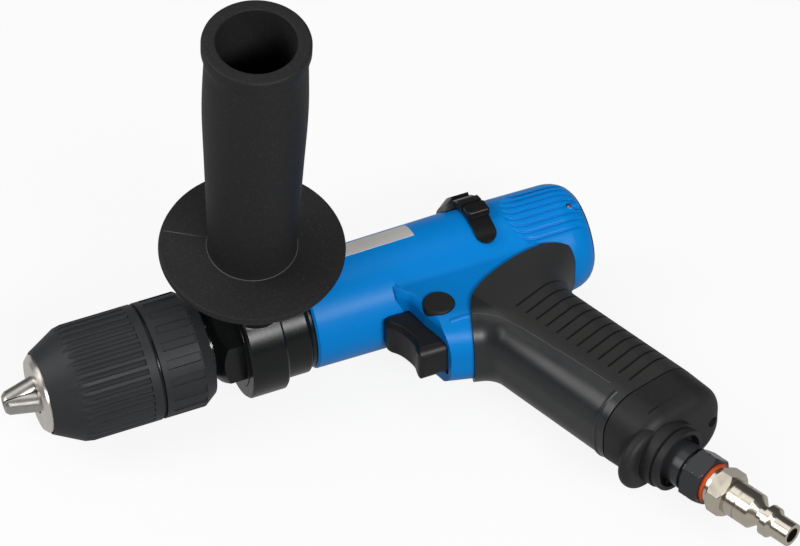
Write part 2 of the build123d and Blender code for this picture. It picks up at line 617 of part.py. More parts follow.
nut_form = turned([(NUT_FRONT_X, NUT_BORE_RADIUS), (NUT_FRONT_X, nut_corner - NUT_CHAMFER * 2),
                   (NUT_FRONT_X + NUT_CHAMFER, nut_corner), (NUT_REAR_X, nut_corner),
                   (NUT_REAR_X, NUT_BORE_RADIUS)])
front_nut = nut_form & hexagon_bar(NUT_FRONT_X, NUT_REAR_X, NUT_ACROSS_FLATS)
pieces["front_nut"] = front_nut + tube(NUT_REAR_X, nut_spigot_end, case_bore - PRESS_GAP, NUT_BORE_RADIUS)


# Vane motor
plate_bore = ROTOR_BEARING_OUTER + PRESS_GAP
shaft_hole = ROTOR_SHAFT_RADIUS + SHAFT_GAP
for name, plate_x in (("front_end_plate", motor_front_x), ("rear_end_plate", rear_plate_x)):
    plate = tube(plate_x, plate_x + END_PLATE_LENGTH, CASE_RADIUS, shaft_hole)
    plate -= rod(plate_x + plate_wall, plate_x + plate_wall + ROTOR_BEARING_WIDTH, plate_bore)
    pieces[name] = plate
liner_bore = Pos(0, LINER_OFFSET, 0) * rod(liner_x, rear_plate_x, LINER_BORE_RADIUS)
pieces["motor_liner"] = rod(liner_x, rear_plate_x, CASE_RADIUS) - liner_bore

rotor_start = liner_x + ROTOR_END_GAP
rotor_end = rear_plate_x - ROTOR_END_GAP
sun_root = GEAR_MODULE * (SUN_TEETH / 2 - DEDENDUM)
sun_end = first_stage_x + PLANET_WIDTH + STAGE_GAP / 2
rotor = turned([
    (sun_end, 0), (sun_end, sun_root), (motor_front_x, sun_root), (motor_front_x, ROTOR_SHAFT_RADIUS),
    (rotor_start, ROTOR_SHAFT_RADIUS), (rotor_start, ROTOR_RADIUS), (rotor_end, ROTOR_RADIUS),
    (rotor_end, ROTOR_SHAFT_RADIUS), (rear_plate_x + END_PLATE_LENGTH, ROTOR_SHAFT_RADIUS),
    (rear_plate_x + END_PLATE_LENGTH, 0)])
rotor += gear(SUN_TEETH, first_stage_x, sun_end - first_stage_x)
vane_slot = Pos(rotor_start, -ROTOR_RADIUS, 0) * Box(
    rotor_end - rotor_start, VANE_DEPTH + FREE_GAP, VANE_THICKNESS + 2 * RUN_GAP,
    align=(Align.MIN, Align.MIN, Align.CENTER))
pieces["rotor"] = rotor - spread(vane_slot, VANE_COUNT)
vane = Pos(rotor_start, FREE_GAP - ROTOR_RADIUS, 0) * Box(
    rotor_end - rotor_start, VANE_DEPTH - FREE_GAP, VANE_THICKNESS,
    align=(Align.MIN, Align.MIN, Align.CENTER))
pieces["rotor_vanes"] = Compound(spread(vane, VANE_COUNT))


# Reverse valve, its plate and the lever
valve_rear_x = valve_x + VALVE_LENGTH
valve_plate_x = valve_rear_x + FREE_GAP
valve = tube(valve_x, valve_rear_x, VALVE_RADIUS, VALVE_SPIGOT_RADIUS + RUN_GAP)
port = Pos(0, -VALVE_PORT_CIRCLE, 0) * rod(valve_x, valve_rear_x, VALVE_PORT_RADIUS)
port_angle = LEVER_CENTRE_ANGLE + 180 / VALVE_PORT_COUNT
valve -= spread(port, VALVE_PORT_COUNT, port_angle)
pin_notch = Pos(LEVER_PIN_X, -LEVER_PIN_REACH + FREE_GAP, 0) * Box(
    2 * (LEVER_PIN_RADIUS + FREE_GAP), CASE_RADIUS, 2 * (LEVER_PIN_RADIUS + FREE_GAP),
    align=(Align.CENTER, Align.MAX, Align.CENTER))
pieces["reverse_valve"] = valve - about_axis(LEVER_CENTRE_ANGLE) * pin_notch
valve_plate = rod(valve_plate_x, valve_plate_x + VALVE_PLATE_LENGTH, CASE_RADIUS)
valve_plate += rod(valve_x + FREE_GAP, valve_plate_x, VALVE_SPIGOT_RADIUS)
plate_port = rod(valve_plate_x, valve_plate_x + VALVE_PLATE_LENGTH, VALVE_PORT_RADIUS)
plate_port = Pos(0, -VALVE_PORT_CIRCLE, 0) * plate_port
pieces["valve_plate"] = valve_plate - spread(plate_port, VALVE_PORT_COUNT, port_angle)

lever_inner = HOUSING_RADIUS + FREE_GAP
lever_outer = lever_inner + LEVER_THICKNESS
lever_front_x = LEVER_X - LEVER_WIDTH / 2
lever_rear_x = LEVER_X + LEVER_WIDTH / 2


def sector(x_start, x_end, outer, inner, half_angle):
    """A band about X, centred on the -Y side, spanning half_angle each way."""
    corners = ((x_start, -inner), (x_end, -inner), (x_end, -outer), (x_start, -outer))
    section = make_face(Polyline(*corners, close=True))
    return about_axis(half_angle) * revolve(section, Axis.X, 2 * half_angle)


tongue_angle = math.degrees(LEVER_WIDTH / 2 / lever_outer)
lever = sector(lever_front_x, lever_rear_x, lever_outer, lever_inner, LEVER_HALF_SPAN - tongue_angle)
tongue_form = tube(lever_front_x, lever_rear_x, lever_outer, lever_inner)
tongue_tip = Plane(origin=(LEVER_X, 0, 0), x_dir=(1, 0, 0), z_dir=(0, -1, 0)) * Cylinder(
    LEVER_WIDTH / 2, CHUCK_RADIUS * 2, align=(Align.CENTER, Align.CENTER, Align.MIN)) & tongue_form
for side in (-1, 1):
    lever += about_axis(side * (LEVER_HALF_SPAN - tongue_angle)) * tongue_tip
ridge_outer = lever_inner + LEVER_RIDGE_HEIGHT
thumb_pad = sector(lever_front_x, lever_rear_x, ridge_outer - LEVER_SCOOP, lever_inner, LEVER_RIDGE_ANGLE)
lever += thumb_pad
ridge_half = math.degrees(LEVER_RIDGE_WIDTH / 2 / ridge_outer)
for angle in (-LEVER_RIDGE_ANGLE + ridge_half, 0, LEVER_RIDGE_ANGLE - ridge_half):
    lever += about_axis(angle) * sector(lever_front_x, lever_rear_x, ridge_outer, lever_inner, ridge_half)
pointer_section = make_face(Polyline(
    (lever_front_x, -lever_inner), (lever_front_x - LEVER_POINTER_LENGTH, -lever_inner),
    (lever_front_x - LEVER_POINTER_LENGTH, -lever_inner - LEVER_POINTER_HEIGHT),
    (lever_front_x, -ridge_outer), close=True))
lever += about_axis(LEVER_POINTER_ANGLE) * revolve(pointer_section, Axis.X, 2 * LEVER_POINTER_ANGLE)
lever += Plane(origin=(LEVER_PIN_X, -LEVER_PIN_REACH, 0), z_dir=(0, -1, 0)) * Cylinder(
    LEVER_PIN_RADIUS, lever_outer - LEVER_PIN_REACH, align=(Align.CENTER, Align.CENTER, Align.MIN))
pieces["reverse_lever"] = about_axis(LEVER_CENTRE_ANGLE) * lever


# Trigger neck and grip: one outline in side view, rounded along its front and back
grip_slope = math.radians(GRIP_SLOPE)
floor_fall = math.radians(FLOOR_FALL)
seam_tilt = math.radians(SEAM_TILT)
slope_down = (math.sin(grip_slope), -math.cos(grip_slope))
slope_back = (math.cos(grip_slope), math.sin(grip_slope))
floor_run = (math.cos(floor_fall), -math.sin(floor_fall))
floor_up = (math.sin(floor_fall), math.cos(floor_fall))
seam_run = (math.cos(seam_tilt), math.sin(seam_tilt))


def shifted(point, direction, distance):
    """A point in side view, moved along a direction."""
    return (point[0] + direction[0] * distance, point[1] + direction[1] * distance)


def meet(start, direction, other, other_direction):
    """Where two lines in side view cross."""
    cross = direction[0] * other_direction[1] - direction[1] * other_direction[0]
    gap = (other[0] - start[0], other[1] - start[1])
    return shifted(start, direction, (gap[0] * other_direction[1] - gap[1] * other_direction[0]) / cross)


web_corner = meet(shifted(GRIP_FRONT, slope_back, GRIP_DEPTH), slope_down, (0, WEB_Y), (1, 0))
web_length = math.dist(web_corner, WEB_REACH)
web_run = ((WEB_REACH[0] - web_corner[0]) / web_length, (WEB_REACH[1] - web_corner[1]) / web_length)
web_inward = (-web_run[1], web_run[0])


def lower_form(inset):
    """The trigger neck and grip in one, down to the end cap's seam, with its skin taken in by inset."""
    front = shifted(GRIP_FRONT, slope_back, inset)
    back = shifted(GRIP_FRONT, slope_back, GRIP_DEPTH - inset)
    floor = shifted(FLOOR_AT, floor_up, inset)
    web = shifted(web_corner, web_inward, inset)
    finger = meet(floor, floor_run, front, slope_down)
    hand = meet(back, slope_down, web, web_run)
    corners = (
        (FLOOR_FRONT_X, GRIP_TOP_Y), meet(floor, floor_run, (FLOOR_FRONT_X, 0), (0, 1)), finger,
        meet(front, slope_down, SEAM_AT, seam_run), meet(back, slope_down, SEAM_AT, seam_run), hand,
        meet(web, web_run, (0, GRIP_TOP_Y), (1, 0)))
    side = make_face(Polyline(*corners, close=True))
    side = fillet(side.vertices().sort_by_distance((*finger, 0))[0], FINGER_ROUND + inset)
    side = fillet(side.vertices().sort_by_distance((*hand, 0))[0], WEB_ROUND + inset)
    half_width = GRIP_HALF_WIDTH - inset
    form = extrude(side, half_width, both=True)
    seam_side = (-seam_run[1], seam_run[0])
    long_edges = form.edges().filter_by(
        lambda edge: abs(edge.center().Z) > half_width - RUN_GAP and edge.center().Y < GRIP_TOP_Y - RUN_GAP
        and edge.center().X > FLOOR_FRONT_X + RUN_GAP
        and (edge.center().X - SEAM_AT[0]) * seam_side[0]
        + (edge.center().Y - SEAM_AT[1]) * seam_side[1] > RUN_GAP)
    return fillet(long_edges, GRIP_CORNER - inset)


def along_plug(points):
    """A solid of revolution about the air plug's axis."""
    return on_frame(grip_frame, turned(points))


# Motor housing: barrel, trigger neck and grip core in one moulding
rear_bevel_x = HOUSING_LENGTH - REAR_BEVEL_LENGTH
chamber_front_x = valve_plate_x + VALVE_PLATE_LENGTH + FREE_GAP
chamber_rear_x = HOUSING_LENGTH - REAR_WALL


def barrel_form(grow):
    """The barrel's outer form, grown by a clearance."""
    return turned([
        (0, 0), (0, HOUSING_FRONT_RADIUS - HOUSING_EDGE + grow),
        (HOUSING_EDGE, HOUSING_FRONT_RADIUS + grow),
        (HOUSING_TAPER_X, HOUSING_RADIUS + grow), (rear_bevel_x, HOUSING_REAR_RADIUS + grow),
        (HOUSING_LENGTH, HOUSING_REAR_RADIUS - REAR_BEVEL_DEPTH + grow), (HOUSING_LENGTH, 0)])


neck_half_width = GRIP_HALF_WIDTH - NECK_STEP
neck_floor = shifted(FLOOR_AT, floor_up, NECK_STEP - FREE_GAP)
neck_foot = meet(neck_floor, floor_run, (NECK_FOOT_X, 0), (0, 1))
neck_bend = (NECK_TOP_X, NECK_BEND_Y)
neck_side = make_face(Polyline(
    (NECK_TOP_X, 0), neck_bend, neck_foot, shifted(neck_foot, floor_run, PLUG_END), (PLUG_END, 0),
    close=True))
neck_side = fillet(neck_side.vertices().sort_by_distance((*neck_foot, 0))[0], NECK_FOOT_ROUND)
neck_side = fillet(neck_side.vertices().sort_by_distance((*neck_bend, 0))[0], NECK_BEND_ROUND)
neck_trim = extrude(neck_side, GRIP_HALF_WIDTH * 2, both=True)
neck_room = Box(
    NECK_REAR_X, PLUG_END * 2, GRIP_HALF_WIDTH * 4, align=(Align.MIN, Align.CENTER, Align.CENTER))

# The neck's root is blended into the barrel first, then the whole neck is joined to it
root_foot_y = NECK_BEND_Y + NECK_ROOT
neck_root = Pos(NECK_TOP_X, root_foot_y, 0) * Box(
    NECK_REAR_X - NECK_TOP_X, GRIP_TOP_Y - root_foot_y, 2 * neck_half_width,
    align=(Align.MIN, Align.MIN, Align.CENTER))
housing = barrel_form(0) + neck_root
blend_edges = housing.edges().filter_by(
    lambda edge: abs(abs(edge.center().Z) - neck_half_width) < RUN_GAP and edge.length > neck_half_width
    and edge.center().Y > root_foot_y + RUN_GAP)
housing = fillet(blend_edges, NECK_BLEND)

# Ribs at the rear: grooves that run along the barrel and hook up round it at their front ends
barrel_taper = (HOUSING_RADIUS - HOUSING_REAR_RADIUS) / (rear_bevel_x - HOUSING_TAPER_X)


def groove_point(x, angle):
    """A point on a rib groove's axis, just outside the barrel."""
    axis_radius = HOUSING_RADIUS - (x - HOUSING_TAPER_X) * barrel_taper - RIB_GROOVE_DEPTH + RIB_GROOVE_RADIUS
    turn = math.radians(angle)
    return Vector(x, -axis_radius * math.cos(turn), axis_radius * math.sin(turn))


grooves = []
for k in range(RIB_GROOVE_COUNT):
    angle = RIB_GROOVE_FIRST + k * RIB_GROOVE_PITCH
    start_x = RIB_FRONT_X + RIB_FRONT_SWEEP * (angle - RIB_FRONT_ANGLE) ** 2
    points = [groove_point(start_x + along, angle + rise) for along, rise in RIB_HOOK]
    points.append(groove_point(HOUSING_LENGTH, angle))
    for start, end in zip(points, points[1:]):
        groove = Plane(origin=start, z_dir=end - start) * Cylinder(
            RIB_GROOVE_RADIUS, (end - start).length, align=(Align.CENTER, Align.CENTER, Align.MIN))
        groove += Pos(*start) * Sphere(RIB_GROOVE_RADIUS)
        grooves += [groove, mirror(groove, Plane.XY)]
housing -= grooves
housing += lower_form(NECK_STEP) & neck_trim & neck_room

# The rubber's outline in side view, from the trigger neck over the arch to the web behind the hand
rubber_outline = Curve() + [
    Line((RUBBER_FRONT_X, RUBBER_FOOT_Y), (RUBBER_FRONT_X, RUBBER_CORNER_Y)),
    Spline((RUBBER_FRONT_X, RUBBER_CORNER_Y), *RUBBER_ARCH, tangents=((0.2, 1), (1, 0))),
    Polyline(RUBBER_ARCH[-1], (PLUG_END, RUBBER_ARCH[-1][1]), (PLUG_END, RUBBER_FOOT_Y),
             (RUBBER_FRONT_X, RUBBER_FOOT_Y))]
rubber_field = extrude(make_face(rubber_outline), GRIP_HALF_WIDTH * 2, both=True)
housing -= Pos(-PRESS_GAP, PRESS_GAP, 0) * rubber_field - barrel_form(0)
housing += lower_form(RUBBER_THICKNESS) & (neck_trim + rubber_field)

housing -= rod(0, chamber_front_x, HOUSING_BORE_RADIUS)
housing -= rod(chamber_front_x, chamber_rear_x, REAR_CHAMBER_RADIUS)
housing -= rod(chamber_rear_x, HOUSING_LENGTH, REAR_CAP_SPIGOT_RADIUS + RUN_GAP)
slot_half = LEVER_TRAVEL / 2 + math.degrees((LEVER_PIN_RADIUS + FREE_GAP) / HOUSING_BORE_RADIUS)
pin_slot_half_width = LEVER_PIN_RADIUS + FREE_GAP
housing -= about_axis(LEVER_CENTRE_ANGLE + LEVER_TRAVEL / 2) * sector(
    LEVER_PIN_X - pin_slot_half_width, LEVER_PIN_X + pin_slot_half_width,
    HOUSING_RADIUS + FREE_GAP, HOUSING_BORE_RADIUS - FREE_GAP, slot_half)

screw_axis_y = -REAR_SCREW_CIRCLE
screw_head = Pos(0, screw_axis_y, 0) * rod(
    REAR_SCREW_X - REAR_SCREW_HEAD_LENGTH, REAR_SCREW_X, REAR_SCREW_HEAD_RADIUS)
screw_shank = Pos(0, screw_axis_y, 0) * rod(
    REAR_SCREW_X - REAR_SCREW_HEAD_LENGTH - REAR_SCREW_LENGTH, REAR_SCREW_X - REAR_SCREW_HEAD_LENGTH,
    REAR_SCREW_RADIUS)
screw_pocket = Pos(0, screw_axis_y, 0) * rod(
    REAR_SCREW_X - REAR_SCREW_HEAD_LENGTH, HOUSING_LENGTH, REAR_SCREW_HEAD_RADIUS + FREE_GAP)
screw_hole = Pos(0, screw_axis_y, 0) * rod(
    REAR_SCREW_X - REAR_SCREW_HEAD_LENGTH - REAR_SCREW_LENGTH - FREE_GAP,
    REAR_SCREW_X - REAR_SCREW_HEAD_LENGTH, REAR_SCREW_RADIUS + PRESS_GAP)
rear_screws = []
for side in (-1, 1):
    rear_screws.append(about_axis(side * REAR_SCREW_ANGLE) * (screw_head + screw_shank))
    housing -= about_axis(side * REAR_SCREW_ANGLE) * (screw_pocket + screw_hole)
pieces["rear_screws"] = Compound(rear_screws)
cap_face_x = HOUSING_LENGTH + PRESS_GAP
pieces["rear_cap"] = turned([
    (chamber_rear_x, 0), (chamber_rear_x, REAR_CAP_SPIGOT_RADIUS), (cap_face_x, REAR_CAP_SPIGOT_RADIUS),
    (cap_face_x, REAR_CAP_RADIUS), (cap_face_x + REAR_CAP_THICKNESS - REAR_CAP_EDGE, REAR_CAP_RADIUS),
    (cap_face_x + REAR_CAP_THICKNESS, REAR_CAP_RADIUS - REAR_CAP_EDGE),
    (cap_face_x + REAR_CAP_THICKNESS, 0)])


# Trigger with its finger scoop, and the pocket that it slides into
nose_y = TRIGGER_TOP_Y - TRIGGER_NOSE_ROUND
toe_y = TRIGGER_FOOT_Y + TRIGGER_TOE_ROUND
nose_end_x = TRIGGER_NOSE_X + TRIGGER_NOSE_ROUND
toe_end_x = TRIGGER_TOE_X + TRIGGER_TOE_ROUND
trigger_side = make_face(Curve() + [
    Spline((TRIGGER_NOSE_X, nose_y), *TRIGGER_SCOOP, (TRIGGER_TOE_X, toe_y), tangents=((0, -1), (0, -1))),
    CenterArc((toe_end_x, toe_y), TRIGGER_TOE_ROUND, 180, 90),
    Polyline((toe_end_x, TRIGGER_FOOT_Y), (TRIGGER_BACK_X, TRIGGER_FOOT_Y), (TRIGGER_BACK_X, TRIGGER_TOP_Y),
             (nose_end_x, TRIGGER_TOP_Y)),
    CenterArc((nose_end_x, nose_y), TRIGGER_NOSE_ROUND, 90, 90)])
trigger = extrude(trigger_side, TRIGGER_HALF_WIDTH, both=True)
trigger_edges = trigger.edges().filter_by(
    lambda edge: abs(edge.center().Z) > TRIGGER_HALF_WIDTH - RUN_GAP
    and edge.center().X < TRIGGER_BACK_X - RUN_GAP)
trigger = fillet(trigger_edges, TRIGGER_EDGE)
pocket_start_x = TRIGGER_NOSE_X - FREE_GAP
pocket_end_x = TRIGGER_BACK_X + TRIGGER_TRAVEL + FREE_GAP
pocket = Pos(pocket_start_x, (TRIGGER_TOP_Y + TRIGGER_FOOT_Y) / 2, 0) * Box(
    pocket_end_x - pocket_start_x, TRIGGER_TOP_Y - TRIGGER_FOOT_Y + 2 * FREE_GAP,
    2 * (TRIGGER_HALF_WIDTH + FREE_GAP), align=(Align.MIN, Align.CENTER, Align.CENTER))
pocket = fillet(pocket.edges().filter_by(Axis.X), TRIGGER_EDGE)
stem_hole = Pos(0, THROTTLE_Y, 0) * rod(
    TRIGGER_BACK_X - TRIGGER_TRAVEL, TRIGGER_BACK_X, STEM_RADIUS + PRESS_GAP)
pieces["trigger"] = trigger - stem_hole
housing -= pocket

bush_end_x = THROTTLE_BUSH_X + THROTTLE_BUSH_LENGTH
housing -= Pos(0, THROTTLE_Y, 0) * rod(
    TRIGGER_BACK_X + TRIGGER_TRAVEL, THROTTLE_CHAMBER_END_X, THROTTLE_BORE_RADIUS)
pieces["throttle_bush"] = Pos(0, THROTTLE_Y, 0) * tube(
    THROTTLE_BUSH_X, bush_end_x, THROTTLE_BORE_RADIUS - PRESS_GAP, STEM_RADIUS + RUN_GAP)
head_x = bush_end_x + FREE_GAP
pieces["throttle_stem"] = Pos(0, THROTTLE_Y, 0) * (
    rod(TRIGGER_BACK_X - TRIGGER_TRAVEL, head_x, STEM_RADIUS)
    + rod(head_x, head_x + STEM_HEAD_LENGTH, STEM_HEAD_RADIUS))
spring_start_x = head_x + STEM_HEAD_LENGTH + SPRING_WIRE_RADIUS + RUN_GAP
spring_end_x = THROTTLE_CHAMBER_END_X - TRIGGER_TRAVEL - SPRING_WIRE_RADIUS - FREE_GAP
spring_length = spring_end_x - spring_start_x
spring_path = Helix(spring_length / SPRING_TURNS, spring_length, SPRING_RADIUS)
wire_end = Plane(origin=spring_path @ 0, z_dir=spring_path % 0) * Circle(SPRING_WIRE_RADIUS)
spring_wire = sweep(wire_end, spring_path)
pieces["valve_spring"] = Pos(spring_start_x, THROTTLE_Y, 0) * Rot(0, 90, 0) * spring_wire
housing -= Pos(THROTTLE_CHAMBER_END_X - THROTTLE_BORE_RADIUS, THROTTLE_Y, 0) * Rot(-90, 0, 0) * Cylinder(
    AIR_PASSAGE_RADIUS, -THROTTLE_Y - HOUSING_BORE_RADIUS + FREE_GAP,
    align=(Align.CENTER, Align.CENTER, Align.MIN))
passage = along_plug([(-THROTTLE_Y / math.cos(tilt), 0), (-THROTTLE_Y / math.cos(tilt), AIR_PASSAGE_RADIUS),
                      (BUSHING_START, AIR_PASSAGE_RADIUS), (BUSHING_START, 0)])
housing -= passage

button_top = neck_half_width + BUTTON_HEIGHT
button = Pos(BUTTON_X, BUTTON_Y, button_top - BUTTON_LENGTH) * Cylinder(
    BUTTON_RADIUS, BUTTON_LENGTH, align=(Align.CENTER, Align.CENTER, Align.MIN))
pieces["push_button"] = fillet(button.edges().group_by(Axis.Z)[-1], BUTTON_DOME)
button_bore_floor = button_top - BUTTON_LENGTH - BUTTON_TRAVEL - FREE_GAP
housing -= Pos(BUTTON_X, BUTTON_Y, button_bore_floor) * Cylinder(
    BUTTON_RADIUS + BUTTON_GAP, neck_half_width, align=(Align.CENTER, Align.CENTER, Align.MIN))
pieces["motor_housing"] = housing


# Rubber grip sleeve over the core, with its grooves
sleeve = lower_form(0) & rubber_field
sleeve -= lower_form(RUBBER_THICKNESS - PRESS_GAP)
sleeve -= barrel_form(PRESS_GAP)
groove_depth_form = lower_form(GROOVE_DEPTH)
slabs = []
for k in range(GROOVE_COUNT):
    slab = Box(GROOVE_WIDTH, CHUCK_RADIUS * 2, CHUCK_RADIUS * 2,
               align=(Align.CENTER, Align.MIN, Align.CENTER))
    slabs.append(on_frame(grip_frame, Pos(GROOVE_FIRST + k * GROOVE_PITCH, GROOVE_START, 0) * slab))
sleeve -= [slab - groove_depth_form for slab in slabs]
pieces["grip_sleeve"] = sleeve


# End cap under the grip, exhaust ring, inlet bushing, seal and plug
def cap_section(centre, angle, depth, thickness):
    """One rounded cross-section of the end cap, square to the side view."""
    turn = math.radians(angle)
    plane = Plane(origin=(*centre, 0), x_dir=(math.cos(turn), math.sin(turn), 0),
                  z_dir=(math.sin(turn), -math.cos(turn), 0))
    return plane * RectangleRounded(2 * depth, 2 * thickness, GRIP_CORNER)


seam_front = meet(GRIP_FRONT, slope_down, SEAM_AT, seam_run)
seam_back = meet(shifted(GRIP_FRONT, slope_back, GRIP_DEPTH), slope_down, SEAM_AT, seam_run)
seam_depth = math.dist(seam_front, seam_back) / 2
seam_centre = shifted(shifted(seam_front, seam_run, seam_depth), slope_down, CAP_SEAM)
cap_centre = shifted(shifted((GRIP_ROOT_X, 0), grip_down, CAP_END_AT), grip_back, CAP_END_OFFSET)
end_cap = loft([cap_section(seam_centre, SEAM_TILT, seam_depth, GRIP_HALF_WIDTH),
                cap_section(cap_centre, CAP_END_TILT, CAP_END_HALF_DEPTH, CAP_END_HALF_WIDTH)])
end_face = end_cap.faces().sort_by(Axis(origin=(0, 0, 0), direction=grip_down))[-1]
end_cap = fillet(end_face.edges(), CAP_EDGE)
lip = Pos(0, LIP_OFFSET, 0) * rod(LIP_START, LIP_START + LIP_LENGTH, LIP_RADIUS)
lip = fillet(lip.edges(), LIP_ROUND)
end_cap += on_frame(grip_frame, lip)
end_cap += on_frame(grip_frame, rod(EXHAUST_SEAT_START, EXHAUST_START, EXHAUST_RING_RADIUS))
end_cap -= on_frame(grip_frame, rod(EXHAUST_START, PLUG_END, EXHAUST_RING_RADIUS + RUN_GAP))
bushing_seat = BUSHING_RADIUS + PRESS_GAP
end_cap -= along_plug([
    (CAP_BORE_START, 0), (CAP_BORE_START, AIR_PASSAGE_RADIUS), (BUSHING_START, AIR_PASSAGE_RADIUS),
    (BUSHING_START, bushing_seat), (EXHAUST_END, bushing_seat), (EXHAUST_END, 0)])
cap_screw_foot = CAP_SCREW_HEAD_AT - CAP_SCREW_LENGTH
screw_bar = rod(cap_screw_foot, CAP_SCREW_HEAD_AT, CAP_SCREW_RADIUS)
screw_bar = Pos(0, CAP_SCREW_ACROSS, 0) * screw_bar
screw_way = rod(cap_screw_foot - FREE_GAP, EXHAUST_END, CAP_SCREW_RADIUS + PRESS_GAP)
screw_way = Pos(0, CAP_SCREW_ACROSS, 0) * screw_way
pieces["grip_end_cap"] = end_cap - on_frame(grip_frame, screw_way)
pieces["motor_housing"] -= on_frame(grip_frame, screw_way)
pieces["end_cap_screw"] = on_frame(grip_frame, screw_bar)

exhaust_bore = EXHAUST_STEP_RADIUS - EXHAUST_WALL
ring = turned([
    (EXHAUST_START + PRESS_GAP, BUSHING_RADIUS + FREE_GAP), (EXHAUST_START + PRESS_GAP, EXHAUST_RING_RADIUS),
    (EXHAUST_STEP_AT, EXHAUST_RING_RADIUS), (EXHAUST_STEP_AT, EXHAUST_GROOVE_RADIUS),
    (EXHAUST_STEP_AT + EXHAUST_GROOVE_LENGTH, EXHAUST_GROOVE_RADIUS),
    (EXHAUST_STEP_AT + EXHAUST_GROOVE_LENGTH, EXHAUST_STEP_RADIUS),
    (EXHAUST_END, EXHAUST_STEP_RADIUS), (EXHAUST_END, exhaust_bore),
    (EXHAUST_STEP_AT, exhaust_bore), (EXHAUST_STEP_AT, BUSHING_RADIUS + FREE_GAP)])
pieces["exhaust_ring"] = on_frame(grip_frame, ring)

bushing = turned([
    (BUSHING_START + RUN_GAP, BUSHING_BORE_RADIUS), (BUSHING_START + RUN_GAP, BUSHING_RADIUS),
    (BUSHING_GROOVE_START, BUSHING_RADIUS), (BUSHING_GROOVE_START, BUSHING_GROOVE_RADIUS),
    (BUSHING_HEX_START, BUSHING_GROOVE_RADIUS), (BUSHING_HEX_START, BUSHING_BORE_RADIUS)])
bushing_hex = about_axis(BUSHING_TURN) * hexagon_bar(BUSHING_HEX_START, BUSHING_END, BUSHING_ACROSS_FLATS)
bushing += bushing_hex - rod(BUSHING_HEX_START, BUSHING_END, BUSHING_BORE_RADIUS)
bushing_corner = BUSHING_ACROSS_FLATS / math.sqrt(3)
bushing &= turned([
    (BUSHING_START, 0), (BUSHING_START, BUSHING_RADIUS), (BUSHING_HEX_START, BUSHING_RADIUS),
    (BUSHING_HEX_START + HEX_CHAMFER, bushing_corner), (BUSHING_END - HEX_CHAMFER, bushing_corner),
    (BUSHING_END, bushing_corner - HEX_CHAMFER), (BUSHING_END, 0)])
pieces["inlet_bushing"] = on_frame(grip_frame, bushing)
screen_start = BUSHING_START + RUN_GAP
screen_outer = BUSHING_BORE_RADIUS - PRESS_GAP
screen = tube(screen_start, BUSHING_START + SCREEN_LENGTH, screen_outer, BUSHING_BORE_RADIUS - SCREEN_WALL)
pieces["inlet_screen"] = on_frame(grip_frame, screen)
seal_end = BUSHING_END + SEAL_THICKNESS
pieces["inlet_seal"] = along_plug([
    (BUSHING_END, BUSHING_BORE_RADIUS), (BUSHING_END, SEAL_RADIUS), (seal_end, SEAL_RADIUS),
    (seal_end, BUSHING_BORE_RADIUS)])

plug_start = BUSHING_END - PLUG_THREAD_LENGTH
hex_start = seal_end + PLUG_FLANGE_LENGTH
hex_end = hex_start + PLUG_HEX_LENGTH
body_end = hex_end + PLUG_BODY_LENGTH
plug_groove_at = hex_end + PLUG_GROOVE_AT
plug_groove_end = plug_groove_at + PLUG_GROOVE_WIDTH
nose_start = PLUG_END - PLUG_NOSE_LENGTH
collar_start = nose_start - PLUG_COLLAR_LENGTH
plug = turned([
    (plug_start, PLUG_BORE_RADIUS), (plug_start, BUSHING_BORE_RADIUS - PRESS_GAP),
    (seal_end, BUSHING_BORE_RADIUS - PRESS_GAP), (seal_end, PLUG_FLANGE_RADIUS),
    (hex_start, PLUG_FLANGE_RADIUS), (hex_start, PLUG_BODY_RADIUS), (plug_groove_at, PLUG_BODY_RADIUS),
    (plug_groove_at, PLUG_BODY_RADIUS - PLUG_GROOVE_DEPTH),
    (plug_groove_end, PLUG_BODY_RADIUS - PLUG_GROOVE_DEPTH), (plug_groove_end, PLUG_BODY_RADIUS),
    (body_end, PLUG_BODY_RADIUS),
    (body_end + PLUG_BODY_RADIUS - PLUG_NECK_RADIUS, PLUG_NECK_RADIUS), (collar_start, PLUG_NECK_RADIUS),
    (collar_start, PLUG_COLLAR_RADIUS), (nose_start, PLUG_COLLAR_RADIUS),
    (nose_start + PLUG_COLLAR_RADIUS - PLUG_NOSE_RADIUS, PLUG_NOSE_RADIUS), (PLUG_END, PLUG_NOSE_RADIUS),
    (PLUG_END, PLUG_BORE_RADIUS)])
plug_corner = PLUG_ACROSS_FLATS / math.sqrt(3)
hex_form = turned([
    (hex_start, PLUG_BORE_RADIUS), (hex_start, plug_corner - HEX_CHAMFER),
    (hex_start + HEX_CHAMFER, plug_corner),
    (hex_end - HEX_CHAMFER, plug_corner), (hex_end, plug_corner - HEX_CHAMFER), (hex_end, PLUG_BORE_RADIUS)])
plug += hex_form & hexagon_bar(hex_start, hex_end, PLUG_ACROSS_FLATS)
pieces["air_plug"] = on_frame(grip_frame, plug)


